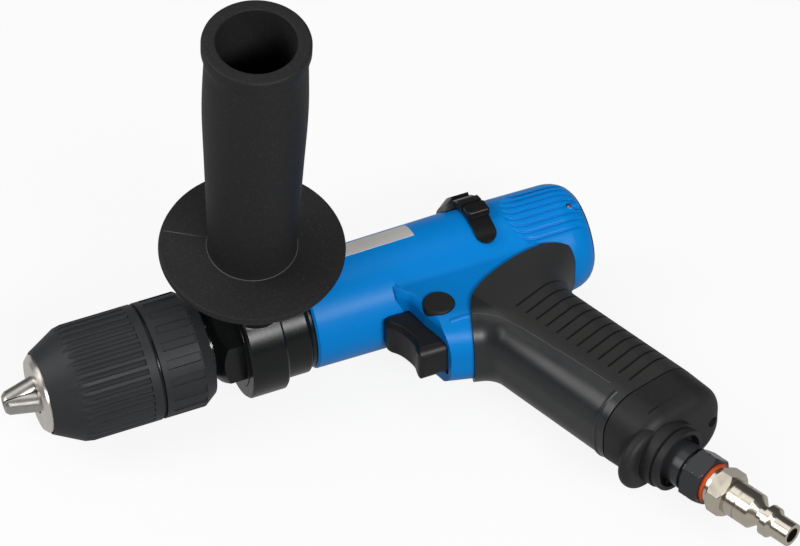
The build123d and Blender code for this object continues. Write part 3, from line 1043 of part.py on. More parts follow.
# Side handle: hollow grip with a flange, its bolt, the clamp ring round the neck and the shoe
flange_foot = HANDLE_FLANGE_AT - HANDLE_FLANGE_THICKNESS
grip_profile = Curve() + [
    Polyline((flange_foot, BOLT_RADIUS), (flange_foot, HANDLE_FLANGE_RADIUS - HANDLE_FLANGE_EDGE),
             (flange_foot + HANDLE_FLANGE_EDGE, HANDLE_FLANGE_RADIUS),
             (HANDLE_FLANGE_AT - HANDLE_FLANGE_EDGE, HANDLE_FLANGE_RADIUS),
             (HANDLE_FLANGE_AT, HANDLE_FLANGE_RADIUS - HANDLE_FLANGE_EDGE),
             (HANDLE_FLANGE_AT, HANDLE_FOOT_RADIUS + HANDLE_FOOT_ROUND)),
    Line((HANDLE_FLANGE_AT, HANDLE_FOOT_RADIUS + HANDLE_FOOT_ROUND),
         (HANDLE_FLANGE_AT + HANDLE_FOOT_ROUND, HANDLE_FOOT_RADIUS)),
    Spline((HANDLE_FLANGE_AT + HANDLE_FOOT_ROUND, HANDLE_FOOT_RADIUS),
           (HANDLE_BULGE_AT, HANDLE_BULGE_RADIUS), (HANDLE_WAIST_AT, HANDLE_WAIST_RADIUS)),
    Polyline((HANDLE_WAIST_AT, HANDLE_WAIST_RADIUS), (HANDLE_END - HANDLE_LIP_LENGTH, HANDLE_LIP_RADIUS),
             (HANDLE_END - HANDLE_LIP_ROUND, HANDLE_LIP_RADIUS),
             (HANDLE_END, HANDLE_LIP_RADIUS - HANDLE_LIP_ROUND), (HANDLE_END, HANDLE_MOUTH_RADIUS),
             (HANDLE_FLOOR_AT, HANDLE_BORE_RADIUS), (HANDLE_FLOOR_AT, 0),
             (BOLT_HEAD_AT, 0), (BOLT_HEAD_AT, BOLT_RADIUS), (flange_foot, BOLT_RADIUS))]
handle = revolve(make_face(grip_profile), Axis.X)
bolt_head_flats = BOLT_HEAD_RADIUS * math.sqrt(3)
bolt_head_end = BOLT_HEAD_AT + BOLT_HEAD_LENGTH
handle -= hexagon_bar(BOLT_HEAD_AT - PRESS_GAP, bolt_head_end + PRESS_GAP, bolt_head_flats)
pieces["side_handle"] = on_frame(handle_frame, handle)
clamp_front_x = NUT_REAR_X + CLAMP_SIDE_GAP
clamp_rear_x = COLLAR_FRONT_X - CLAMP_SIDE_GAP
clamp_bore = NECK_SEAT_RADIUS + CLAMP_BORE_GAP
shoe_top = clamp_bore + SHOE_THICKNESS
bolt_start = shoe_top + FREE_GAP
bolt = rod(bolt_start, BOLT_HEAD_AT, BOLT_RADIUS - PRESS_GAP)
bolt += hexagon_bar(BOLT_HEAD_AT, bolt_head_end, bolt_head_flats - 2 * PRESS_GAP)
pieces["handle_bolt"] = on_frame(handle_frame, bolt)
ring_form = turned([
    (clamp_front_x, 0), (clamp_front_x, CLAMP_RADIUS - CLAMP_EDGE),
    (clamp_front_x + CLAMP_EDGE, CLAMP_RADIUS), (clamp_rear_x - CLAMP_EDGE, CLAMP_RADIUS),
    (clamp_rear_x, CLAMP_RADIUS - CLAMP_EDGE), (clamp_rear_x, 0)])
boss_block = on_frame(handle_frame, rod(0, flange_foot - FREE_GAP, CLAMP_BOSS_RADIUS))
boss_slab = rod(clamp_front_x, clamp_rear_x, HANDLE_END)
clamp_form = ring_form + (boss_block & boss_slab)
clamp_form -= rod(clamp_front_x, clamp_rear_x, clamp_bore)
clamp_form -= on_frame(handle_frame, rod(0, flange_foot, BOLT_RADIUS + RUN_GAP))
pieces["handle_clamp"] = clamp_form
shoe = on_frame(handle_frame, rod(0, shoe_top, BOLT_RADIUS)) - rod(clamp_front_x, clamp_rear_x, clamp_bore)
pieces["clamp_shoe"] = shoe


# Lay the tool with its lowest point at Z = 0 and the middle of its outline at the origin
extent = Compound(list(pieces.values())).bounding_box()
to_rest = Pos(-extent.center().X, -extent.center().Y, -extent.min.Z)
os.makedirs("parts", exist_ok=True)
for name, solid in pieces.items():
    export_step(to_rest * solid, f"parts/{name}.step")
print(len(pieces), "pieces; working origin at", to_rest.position)
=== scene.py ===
"""Looks of a reversible pistol-grip air drill with a keyless chuck and a side handle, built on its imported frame."""

import json
import logging
from dataclasses import dataclass, field
from enum import Enum
from math import cos, pi, radians, sin, tau
from typing import Optional, Sequence, Union

import bmesh
import bpy
from mathutils import Matrix, Vector
from mathutils.bvhtree import BVHTree

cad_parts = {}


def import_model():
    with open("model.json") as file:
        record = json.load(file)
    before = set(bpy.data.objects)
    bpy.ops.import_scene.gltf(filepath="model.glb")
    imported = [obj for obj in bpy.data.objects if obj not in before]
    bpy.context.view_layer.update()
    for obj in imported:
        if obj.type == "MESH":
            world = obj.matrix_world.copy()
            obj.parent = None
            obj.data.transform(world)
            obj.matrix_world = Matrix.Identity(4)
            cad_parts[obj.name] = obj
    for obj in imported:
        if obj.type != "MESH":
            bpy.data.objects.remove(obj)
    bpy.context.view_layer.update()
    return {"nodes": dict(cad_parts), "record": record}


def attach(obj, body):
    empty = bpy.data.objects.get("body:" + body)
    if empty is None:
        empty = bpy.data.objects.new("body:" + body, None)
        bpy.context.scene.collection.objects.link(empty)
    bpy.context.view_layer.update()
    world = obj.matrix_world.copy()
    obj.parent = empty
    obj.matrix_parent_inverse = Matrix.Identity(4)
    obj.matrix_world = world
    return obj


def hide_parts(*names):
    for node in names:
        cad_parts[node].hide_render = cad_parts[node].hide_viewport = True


LOG = logging.getLogger("air_drill")
MM = 0.001
Piece = bpy.types.Object
Material = bpy.types.Material
Point = tuple[float, float]
Line = tuple[Point, ...]
Triple = tuple[float, float, float]
Colour = Triple


class Body(str, Enum):
    """The moving bodies that visible pieces ride on."""

    DRILL = "drill"
    SPINDLE = "spindle"
    SLEEVE = "chuck_sleeve"
    TRIGGER = "trigger"
    BUTTON = "push_button"
    LEVER = "reverse_lever"
    CLAMP = "handle_clamp"
    HANDLE = "side_handle"


class Slot(str, Enum):
    """The record's material slots."""

    BLUE = "blue_housing"
    METAL = "black_metal"
    PLASTIC = "black_plastic"
    GLOSS = "gloss_black"
    RUBBER = "rubber"
    NICKEL = "nickel"
    STEEL = "steel"
    CHROME = "chrome"
    ALUMINIUM = "aluminium"
    SEAL = "red_seal"


# Frames of the tool: where its barrel, grip and side handle stand, in millimetres


@dataclass(frozen=True)
class Axis:
    """A line of the tool that pieces are turned about.

    Its own x runs along the line, y across it and z completes the frame.
    """

    origin: Triple
    along: Triple
    across: Triple

    def matrix(self) -> Matrix:
        """Measures this axis's own frame.

        Returns:
            Matrix from it to the row frame, in metres.
        """
        x = Vector(self.along).normalized()
        z = x.cross(Vector(self.across)).normalized()
        y = z.cross(x)
        turn = Matrix((x, y, z)).transposed().to_4x4()
        return Matrix.Translation((Vector(self.origin) + REST) * MM) @ turn

    def spot(self, along: float, radius: float, turn: float) -> Vector:
        """A place about this axis, in millimetres in the tool's frame; the turn rises from its own y."""
        place = Vector((along, radius * cos(turn), radius * sin(turn)))
        return self.matrix() @ (place * MM) / MM - REST


REST = Vector((-3.17144, 71.6768, 23.7))
GRIP_TILT = radians(23.1)
HANDLE_LEAN = radians(11.0)
BARREL = Axis((0, 0, 0), (1, 0, 0), (0, 1, 0))
GRIP = Axis((43.1, 0, 0), (sin(GRIP_TILT), -cos(GRIP_TILT), 0), (cos(GRIP_TILT), sin(GRIP_TILT), 0))
CROSS = Axis((0, 0, 0), (0, 1, 0), (0, 0, 1))
HANDLE = Axis((-18.9, 0, 0), (0, -sin(HANDLE_LEAN), cos(HANDLE_LEAN)), (1, 0, 0))


# Shader graphs


@dataclass
class Shade:
    """A socket of a shader graph; arithmetic on it adds Math nodes."""

    graph: "Graph"
    socket: bpy.types.NodeSocket

    def _math(self, operation: str, *values: "Input") -> "Shade":
        """Adds one Math node over the given values."""
        return self.graph.node("ShaderNodeMath", {"operation": operation}, dict(enumerate(values)))

    def __add__(self, other: "Input") -> "Shade":
        """Sum."""
        return self._math("ADD", self, other)

    __radd__ = __add__

    def __sub__(self, other: "Input") -> "Shade":
        """Difference."""
        return self._math("SUBTRACT", self, other)

    def __mul__(self, other: "Input") -> "Shade":
        """Product."""
        return self._math("MULTIPLY", self, other)

    def step(self, low: float, high: float) -> "Shade":
        """Smooth step from 0 at low to 1 at high."""
        return self.graph.node("ShaderNodeMapRange", {"interpolation_type": "SMOOTHSTEP"}, {0: self, 1: low, 2: high})

    def part(self, axis: int) -> "Shade":
        """One part of a vector."""
        return self.graph.node("ShaderNodeSeparateXYZ", {}, {0: self}, axis)


Input = Union[Shade, float, tuple]


class Graph:
    """The node graph of one material."""

    def __init__(self, name: str) -> None:
        """Starts an empty graph in a new material.

        Args:
            name: The material's name.
        """
        self.material = bpy.data.materials.new(name)
        self.material.use_nodes = True
        self.tree = self.material.node_tree
        self.tree.nodes.clear()

    def node(self, kind: str, settings: dict, inputs: dict, output: Union[int, str] = 0) -> Shade:
        """Adds a node.

        Args:
            kind: The node's type.
            settings: Values set on the node itself.
            inputs: Values or links of its sockets, by name or number.
            output: The output that is returned.

        Returns:
            The chosen output.
        """
        made = self.tree.nodes.new(kind)
        for key, value in settings.items():
            setattr(made, key, value)
        for key, value in inputs.items():
            if isinstance(value, Shade):
                self.tree.links.new(value.socket, made.inputs[key])
            elif isinstance(value, tuple) and made.inputs[key].type == "RGBA":
                made.inputs[key].default_value = (*value, 1.0)
            else:
                made.inputs[key].default_value = value
        return Shade(self, made.outputs[output])

    def place(self, axis: Optional[Axis] = None) -> Shade:
        """Position on the piece, which the finishes' patterns are laid by.

        Args:
            axis: An axis of the tool to measure along, or None for the row's frame.

        Returns:
            The position in millimetres.
        """
        where = self.node("ShaderNodeTexCoord", {}, {}, "Object")
        if axis is not None:
            back = axis.matrix().inverted()
            where = self.node("ShaderNodeMapping", {}, {
                "Vector": where, "Location": tuple(back.translation), "Rotation": tuple(back.to_euler())})
        return self.node("ShaderNodeVectorMath", {"operation": "SCALE"}, {0: where, "Scale": 1 / MM})

    def noise(self, where: Shade, size: float, detail: float = 3.0, rough: float = 0.55) -> Shade:
        """Noise whose features are about size millimetres across, around 0.5."""
        return self.node("ShaderNodeTexNoise", {}, {
            "Vector": where, "Scale": 1 / size, "Detail": detail, "Roughness": rough})

    def stretched(self, where: Shade, scale: Triple) -> Shade:
        """The same place with each direction scaled, for drawn or turned marks."""
        return self.node("ShaderNodeMapping", {}, {"Vector": where, "Scale": scale})

    def mix(self, factor: Input, first: Union[Shade, Colour], second: Union[Shade, Colour]) -> Shade:
        """Mix of two colours."""
        return self.node("ShaderNodeMix", {"data_type": "RGBA"}, {0: factor, 6: first, 7: second}, 2)

    def bump(self, height: Shade, depth: float, before: Optional[Shade] = None) -> Shade:
        """Surface relief.

        Args:
            height: A height between 0 and 1.
            depth: How deep that is, in millimetres.
            before: Relief that it lies on, where there is any.

        Returns:
            The relief.
        """
        inputs = {"Height": height, "Distance": depth * MM, "Strength": 1.0}
        if before is not None:
            inputs["Normal"] = before
        return self.node("ShaderNodeBump", {}, inputs)

    def surface(self, colour: Input, roughness: Input, normal: Shade, others: dict[str, float]) -> Material:
        """Closes the graph with one shader.

        Args:
            colour: Base colour.
            roughness: Roughness.
            normal: Relief.
            others: Other inputs by name.

        Returns:
            The finished material.
        """
        inputs = {"Base Color": colour, "Roughness": roughness, "Normal": normal, **others}
        return self.close(self.node("ShaderNodeBsdfPrincipled", {}, inputs))

    def close(self, shader: Shade) -> Material:
        """Links a shader to the material's output.

        Args:
            shader: The shader.

        Returns:
            The material.
        """
        output = self.tree.nodes.new("ShaderNodeOutputMaterial")
        self.tree.links.new(shader.socket, output.inputs["Surface"])
        return self.material


def shifted(colour: Colour, share: float) -> Colour:
    """A colour made lighter or darker by a share."""
    return tuple(min(1.0, part * (1 + share)) for part in colour)


# Finishes


# Colour of light specks: dust, and on the side handle painted glints of the grain.
DUST_AND_GLINT = (0.35, 0.34, 0.32)


@dataclass(frozen=True)
class Paint:
    """Satin paint with a faint orange peel and slow clouds of colour."""

    name: str
    colour: Colour
    roughness: float
    peel: float = 0.006

    def material(self) -> Material:
        """Lays out the paint.

        Returns:
            Its material.
        """
        g = Graph(self.name)
        where = g.place()
        cloud = g.noise(where, 22.0, 2.0)
        speck = g.noise(where, 0.5, 2.0)
        peel = g.noise(where, 1.1, 2.0)
        colour = g.mix(cloud, shifted(self.colour, -0.06), shifted(self.colour, 0.06))
        roughness = self.roughness + (cloud - 0.5) * 0.08 + (speck - 0.5) * 0.1
        return g.surface(colour, roughness, g.bump(peel, self.peel), {"Specular IOR Level": 0.16})


@dataclass(frozen=True)
class Moulding:
    """Moulded plastic or rubber: grain of a given size and depth, light specks in it (dust, and painted glints on the
    side handle), and cloudy gloss.
    """

    name: str
    colour: Colour
    roughness: float
    grain: float
    depth: float
    dust_and_glint: float = 0.02
    gloss: float = 0.22
    specks: Point = (0.68, 0.8)

    def material(self) -> Material:
        """Lays out the plastic.

        Returns:
            Its material.
        """
        g = Graph(self.name)
        where = g.place()
        cloud = g.noise(where, 15.0, 3.0)
        grain = g.noise(where, self.grain, 2.0, 0.7)
        specks = g.noise(where, self.grain * 2.2, 1.0).step(*self.specks)
        colour = g.mix(cloud, shifted(self.colour, -0.14), shifted(self.colour, 0.14))
        # Light specks in the colour: dust, and on the side handle painted glints of the grain.
        colour = g.mix(specks * self.dust_and_glint, colour, DUST_AND_GLINT)
        roughness = self.roughness + (cloud - 0.5) * 0.12 + (grain - 0.5) * 0.1
        return g.surface(colour, roughness, g.bump(grain, self.depth), {"Specular IOR Level": self.gloss})


@dataclass(frozen=True)
class TurnedMetal:
    """Bare metal with fine marks round an axis of the tool."""

    name: str
    colour: Colour
    roughness: float
    axis: Axis = BARREL
    marks: float = 0.002
    stain: float = 0.12
    bare: float = 1.0

    def material(self) -> Material:
        """Lays out the metal.

        Returns:
            Its material.
        """
        g = Graph(self.name)
        where = g.place(self.axis)
        lines = g.noise(g.stretched(where, (9.0, 0.12, 0.12)), 1.0, 3.0)
        cloud = g.noise(where, 3.5, 4.0)
        colour = g.mix(cloud, shifted(self.colour, -self.stain), shifted(self.colour, self.stain / 2))
        roughness = self.roughness + (lines - 0.5) * 0.12 + (cloud - 0.5) * 0.12
        return g.surface(colour, roughness, g.bump(lines, self.marks), {"Metallic": self.bare})


@dataclass(frozen=True)
class BlackOxide:
    """Blackened or black-painted metal with a satin sheen and fine marks round an axis."""

    name: str
    colour: Colour
    roughness: float
    axis: Axis = BARREL
    marks: float = 0.0015

    def material(self) -> Material:
        """Lays out the blackened metal.

        Returns:
            Its material.
        """
        g = Graph(self.name)
        where = g.place(self.axis)
        lines = g.noise(g.stretched(where, (5.0, 0.1, 0.1)), 1.0, 3.0)
        cloud = g.noise(where, 6.0, 3.0)
        fine = g.noise(where, 0.4, 2.0)
        colour = g.mix(cloud, shifted(self.colour, -0.2), shifted(self.colour, 0.2))
        roughness = self.roughness + (lines - 0.5) * 0.1 + (cloud - 0.5) * 0.1
        relief = g.bump(fine, self.marks, g.bump(lines, self.marks))
        return g.surface(colour, roughness, relief, {"Specular IOR Level": 0.3})


@dataclass(frozen=True)
class GripSkin:
    """Grip rubber: grained over the back, smoother on the panel in front of the seam."""

    name: str
    back: Colour
    front: Colour
    back_roughness: float
    front_roughness: float
    grain: float = 0.5
    depth: float = 0.016
    seam_across: Point = (-1.4, -0.2)

    def material(self) -> Material:
        """Lays out the rubber.

        Returns:
            Its material.
        """
        g = Graph(self.name)
        where = g.place(GRIP)
        cloud = g.noise(where, 14.0, 3.0)
        grain = g.noise(where, self.grain, 2.0, 0.7)
        specks = g.noise(where, self.grain * 2.4, 1.0).step(0.7, 0.8)
        behind = where.part(1).step(*self.seam_across)
        colour = g.mix(behind, self.front, self.back)
        colour = g.mix((cloud - 0.5) * 0.5 + 0.25, colour, shifted(self.back, 0.5))
        colour = g.mix(specks * 0.04, colour, DUST_AND_GLINT)
        span = self.back_roughness - self.front_roughness
        roughness = self.front_roughness + behind * span + (cloud - 0.5) * 0.12 + (grain - 0.5) * 0.1
        height = grain * (0.35 + behind * 0.65)
        return g.surface(colour, roughness, g.bump(height, self.depth), {"Specular IOR Level": 0.42})


BLUE_PAINT = Paint("blue_paint", (0.0, 0.238, 0.71), 0.36)
# The side handle's denser light specks are painted glints of its grain as well as dust.
HANDLE_PLASTIC = Moulding("handle_plastic", (0.0165, 0.0165, 0.0165), 0.6, 0.34, 0.02, dust_and_glint=0.035, specks=(0.56, 0.72))
CHUCK_PLASTIC = Moulding("chuck_plastic", (0.030, 0.031, 0.034), 0.5, 0.4, 0.012, dust_and_glint=0.05)
CAP_PLASTIC = Moulding("cap_plastic", (0.021, 0.021, 0.021), 0.5, 0.5, 0.015, dust_and_glint=0.04)
CONTROL_PLASTIC = Moulding("control_plastic", (0.014, 0.014, 0.0145), 0.36, 0.6, 0.006, dust_and_glint=0.03)
GLOSS_PLASTIC = Moulding("gloss_plastic", (0.011, 0.011, 0.011), 0.2, 1.2, 0.004, dust_and_glint=0.05)
GRIP_RUBBER = GripSkin("grip_rubber", (0.024, 0.024, 0.023), (0.016, 0.017, 0.019), 0.56, 0.33)
SEAM_RUBBER = Moulding("seam_rubber", (0.09, 0.09, 0.09), 0.6, 0.5, 0.01)
BLACK_NECK = BlackOxide("black_neck", (0.005, 0.0055, 0.0055), 0.26)
BLACK_INLET = BlackOxide("black_inlet", (0.03, 0.031, 0.034), 0.24, GRIP)
NOSE_NICKEL = TurnedMetal("nose_nickel", (0.84, 0.79, 0.73), 0.3)
JAW_STEEL = TurnedMetal("jaw_steel", (0.5, 0.48, 0.45), 0.34, marks=0.004)
PLUG_NICKEL = TurnedMetal("plug_nickel", (0.66, 0.60, 0.50), 0.2, GRIP)
BRIGHT_STEEL = TurnedMetal("bright_steel", (0.6, 0.6, 0.6), 0.2)
MACHINED_STEEL = TurnedMetal("machined_steel", (0.45, 0.45, 0.46), 0.36)
BRONZE = TurnedMetal("bronze", (0.62, 0.4, 0.17), 0.35)
SCREW_STEEL = TurnedMetal("screw_steel", (0.42, 0.37, 0.3), 0.35)
ALUMINIUM = TurnedMetal("machined_aluminium", (0.68, 0.69, 0.7), 0.38)
SEAL_NYLON = Moulding("seal_nylon", (0.60, 0.085, 0.02), 0.36, 0.8, 0.006)
VANE_FIBRE = Moulding("vane_fibre", (0.2, 0.1, 0.045), 0.7, 0.6, 0.02)
LABEL_FOIL = TurnedMetal("label_foil", (0.78, 0.76, 0.72), 0.42, marks=0.001, stain=0.05, bare=0.3)

Finish = Union[Paint, Moulding, TurnedMetal, BlackOxide, GripSkin]
INNER_FINISHES: dict[str, Finish] = {
    Slot.STEEL: MACHINED_STEEL, Slot.CHROME: BRIGHT_STEEL, Slot.ALUMINIUM: ALUMINIUM, "bronze": BRONZE,
    "fibre": VANE_FIBRE, Slot.NICKEL: SCREW_STEEL, Slot.METAL: BLACK_NECK,
    Slot.PLASTIC: CAP_PLASTIC, Slot.GLOSS: GLOSS_PLASTIC, Slot.BLUE: BLUE_PAINT,
    Slot.RUBBER: GRIP_RUBBER, Slot.SEAL: SEAL_NYLON}


@dataclass
class Finisher:
    """Makes each finish's material once and puts it on pieces."""

    made: dict[str, Material] = field(default_factory=dict)

    def put(self, piece: Piece, finish: Finish) -> None:
        """Gives a piece one finish all over.

        Args:
            piece: The piece.
            finish: The finish.
        """
        if finish.name not in self.made:
            self.made[finish.name] = finish.material()
        piece.data.materials.clear()
        piece.data.materials.append(self.made[finish.name])


# Modelling


class Change(Enum):
    """Boolean operations, each with whether parts of the cutter cross each other."""

    CUT = ("DIFFERENCE", False)
    CUT_CROSSING = ("DIFFERENCE", True)
    ADD = ("UNION", False)
    KEEP = ("INTERSECT", False)


@dataclass
class SubAssembly:
    """Modelling steps. Operators act on what is selected, so each step selects its own piece first."""

    nodes: dict[str, Piece]
    slots: dict[str, str]
    finisher: Finisher
    weld: float = 0.001 * MM
    solid_weld: float = 0.002 * MM
    flat_angle: float = radians(0.3)
    crease: float = radians(44.0)
    volume_spare: float = 0.0005
    edge_segments: int = 2
    wire_segments: int = 3
    block_edge: float = 0.3
    block_segments: int = 3
    ray_reach: float = 60.0

    @staticmethod
    def select(piece: Piece) -> None:
        """Selects one piece alone.

        Args:
            piece: The piece.
        """
        bpy.ops.object.select_all(action="DESELECT")
        piece.select_set(True)
        bpy.context.view_layer.objects.active = piece

    @staticmethod
    def everything() -> None:
        """Opens the active piece for editing, with all of it selected."""
        bpy.ops.object.mode_set(mode="EDIT")
        bpy.ops.mesh.select_all(action="SELECT")

    def outlined(self, name: str, corners: Sequence[Vector]) -> Piece:
        """Draws a closed line and leaves it in edit mode, all selected.

        Args:
            name: The new piece's name.
            corners: The line's corners, in metres.

        Returns:
            The new piece.
        """
        bpy.ops.object.select_all(action="DESELECT")
        bpy.ops.mesh.primitive_plane_add(size=MM, location=(0, 0, 0))
        piece = bpy.context.object
        piece.name = name
        self.everything()
        bpy.ops.mesh.merge(type="CENTER")
        bpy.ops.transform.translate(value=corners[0])
        for here, there in zip(corners, corners[1:] + corners[:1]):
            bpy.ops.mesh.extrude_vertices_move(TRANSFORM_OT_translate={"value": there - here})
        self.everything()
        bpy.ops.mesh.remove_doubles(threshold=self.weld)
        return piece

    def stacked(self, name: str, outline: Sequence[Point], layers: Sequence[Vector], axis: Axis = BARREL) -> Piece:
        """A solid swept through layers of one outline.

        Args:
            name: The new piece's name.
            outline: (x, y) corners in millimetres in the axis's own frame.
            layers: How far each layer is moved, in millimetres.
            axis: The frame that it is drawn in.

        Returns:
            The new piece.
        """
        piece = self.outlined(name, [(Vector((x, y, 0)) + layers[0]) * MM for x, y in outline])
        bpy.ops.mesh.edge_face_add()
        for here, there in zip(layers, layers[1:]):
            bpy.ops.mesh.extrude_region_move(TRANSFORM_OT_translate={"value": (there - here) * MM})
        self.everything()
        bpy.ops.mesh.fill_holes(sides=0)
        bpy.ops.mesh.normals_make_consistent(inside=False)
        bpy.ops.object.mode_set(mode="OBJECT")
        piece.data.transform(axis.matrix())
        return piece

    def joined(self, pieces: Sequence[Piece]) -> Piece:
        """Joins several pieces into the first.

        Args:
            pieces: The pieces.

        Returns:
            The first piece.
        """
        self.select(pieces[0])
        for piece in pieces[1:]:
            piece.select_set(True)
        bpy.ops.object.join()
        return pieces[0]

    def turned(self, name: str, profile: Sequence[Point], axis: Axis, steps: int = 96,
               start: float = 0.0, sweep: float = 360.0) -> Piece:
        """A piece spun from a closed profile.

        Args:
            name: The new piece's name.
            profile: (along, radius) corners in millimetres, in order round the section.
            axis: The line it is turned about.
            steps: Steps round the turn.
            start: Where a part turn starts, in degrees from the axis's own y.
            sweep: How far it goes round, in degrees.

        Returns:
            The new piece.
        """
        piece = self.outlined(name, [Vector((along * MM, radius * MM, 0)) for along, radius in profile])
        bpy.ops.mesh.spin(steps=steps, angle=-radians(sweep), center=(0, 0, 0), axis=(1, 0, 0))
        self.everything()
        bpy.ops.mesh.remove_doubles(threshold=self.weld)
        bpy.ops.mesh.fill_holes(sides=0)
        bpy.ops.mesh.delete_loose(use_verts=True, use_edges=True, use_faces=False)
        self.everything()
        bpy.ops.mesh.normals_make_consistent(inside=False)
        bpy.ops.object.mode_set(mode="OBJECT")
        piece.data.transform(axis.matrix() @ Matrix.Rotation(radians(start), 4, "X"))
        return piece

    def wire(self, name: str, line: Sequence[Vector], radius: float) -> Piece:
        """A round bar along a line.

        Args:
            name: The new piece's name.
            line: Points of its middle, in millimetres in the tool's frame.
            radius: Its radius in millimetres.

        Returns:
            The new piece.
        """
        curve = bpy.data.curves.new(name, "CURVE")
        curve.dimensions = "3D"
        curve.bevel_depth = radius * MM
        curve.bevel_resolution = self.wire_segments
        curve.use_fill_caps = True
        path = curve.splines.new("POLY")
        path.points.add(len(line) - 1)
        for knot, place in zip(path.points, line):
            knot.co = (*((place + REST) * MM), 1.0)
        piece = bpy.data.objects.new(name, curve)
        bpy.context.scene.collection.objects.link(piece)
        self.select(piece)
        bpy.ops.object.convert(target="MESH")
        self.everything()
        bpy.ops.mesh.remove_doubles(threshold=self.weld)
        bpy.ops.mesh.normals_make_consistent(inside=False)
        bpy.ops.object.mode_set(mode="OBJECT")
        return bpy.context.object

    def draped(self, node: str, line: Sequence[Point], sink: float) -> list[Vector]:
        """A line of (x, y) points in millimetres dropped onto a solid's +z side and sunk into it."""
        return self.dropped(node, [(Vector((x, y, self.ray_reach)), Vector((0, 0, -1))) for x, y in line], sink)

    def dropped(self, node: str, rays: Sequence[tuple[Vector, Vector]], sink: float) -> list[Vector]:
        """Points where rays meet a solid, in millimetres in the tool's frame.

        Args:
            node: The solid's node.
            rays: Where each ray starts and its direction.
            sink: How far below the surface the points go.

        Returns:
            The points, without the rays that miss.
        """
        mesh = self.nodes[node].data
        skin = BVHTree.FromPolygons([v.co for v in mesh.vertices], [tuple(f.vertices) for f in mesh.polygons])
        hits = [skin.ray_cast((start + REST) * MM, direction) for start, direction in rays]
        return [place / MM - REST - normal * sink for place, normal, _, _ in hits if place is not None]

    def block(self, name: str, size: Triple, place: Matrix) -> Piece:
        """A block with eased edges.

        Args:
            name: The new piece's name.
            size: Its three sizes in millimetres.
            place: Its middle and turn, in metres in the row frame.

        Returns:
            The new piece.
        """
        bpy.ops.object.select_all(action="DESELECT")
        bpy.ops.mesh.primitive_cube_add(size=1.0, location=(0, 0, 0))
        piece = bpy.context.object
        piece.name = name
        self.everything()
        bpy.ops.transform.resize(value=[s * MM for s in size])
        bpy.ops.mesh.bevel(offset=min(size) * self.block_edge * MM, segments=self.block_segments, affect="EDGES")
        bpy.ops.object.mode_set(mode="OBJECT")
        piece.data.transform(place)
        return piece

    def cut(self, piece: Piece, change: Change, cutter: Piece) -> None:
        """Changes one piece with another; a result whose volume can't be right is undone.

        Args:
            piece: The piece that changes.
            change: The operation.
            cutter: The piece that is used up.
        """
        operation, crossing = change.value
        before = piece.data.copy()
        room, tool = volume(before), abs(volume(cutter.data))
        least, most = {"DIFFERENCE": (room - tool, room), "UNION": (room, room + tool),
                       "INTERSECT": (0.0, min(room, tool))}[operation]
        spare = room * self.volume_spare
        for own in (crossing, not crossing):
            self.select(piece)
            boolean = piece.modifiers.new("cut", "BOOLEAN")
            boolean.operation = operation
            boolean.solver = "EXACT"
            boolean.use_self = own
            boolean.object = cutter
            bpy.ops.object.modifier_apply(modifier=boolean.name)
            if max(least - spare, spare) <= volume(piece.data) <= most + spare:
                break
            LOG.warning("%s of %s with %s is wrong, so it is undone", operation, piece.name, cutter.name)
            piece.data = before.copy()
        bpy.data.objects.remove(cutter)

    def eased(self, piece: Piece, width: float, angle: float) -> None:
        """Rounds the sharp edges of a piece.

        Args:
            piece: The piece.
            width: Width of the rounding in millimetres.
            angle: Edges sharper than this many degrees are rounded.
        """
        self.select(piece)
        edge = piece.modifiers.new("edge", "BEVEL")
        edge.limit_method = "ANGLE"
        edge.angle_limit = radians(angle)
        edge.width = width * MM
        edge.segments = self.edge_segments
        bpy.ops.object.modifier_apply(modifier=edge.name)

    def smoothed(self, piece: Piece) -> None:
        """Smooths the shading of a piece between its crisp edges.

        Args:
            piece: The piece.
        """
        self.select(piece)
        bpy.ops.object.shade_smooth()
        bpy.ops.object.mode_set(mode="EDIT")
        bpy.ops.mesh.select_mode(type="EDGE")
        bpy.ops.mesh.select_all(action="DESELECT")
        bpy.ops.mesh.edges_select_sharp(sharpness=self.crease)
        bpy.ops.mesh.mark_sharp()
        bpy.ops.mesh.select_mode(type="VERT")
        bpy.ops.object.mode_set(mode="OBJECT")
        even = piece.modifiers.new("even", "WEIGHTED_NORMAL")
        even.keep_sharp = True
        bpy.ops.object.modifier_apply(modifier=even.name)

    def settle(self, piece: Piece, body: Body, slot: Slot, finish: Finish, *nodes: str,
               width: Optional[float] = 0.0, angle: float = 32.0) -> None:
        """Rounds and dresses a piece, seats it on its body and hides the solids it stands for.

        Args:
            piece: The piece.
            body: The body that it rides on.
            slot: The record's slot of its material; not used.
            finish: Its finish.
            nodes: Solids that it replaces.
            width: Width of the edge rounding in millimetres, or None for flat shading too.
            angle: Edges sharper than this many degrees are rounded.
        """
        if width:
            self.eased(piece, width, angle)
        if width is not None:
            self.smoothed(piece)
        self.finisher.put(piece, finish)
        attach(piece, body.value)
        if nodes:
            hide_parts(*nodes)
        LOG.info("%s: %d faces on %s", piece.name, len(piece.data.polygons), body.value)

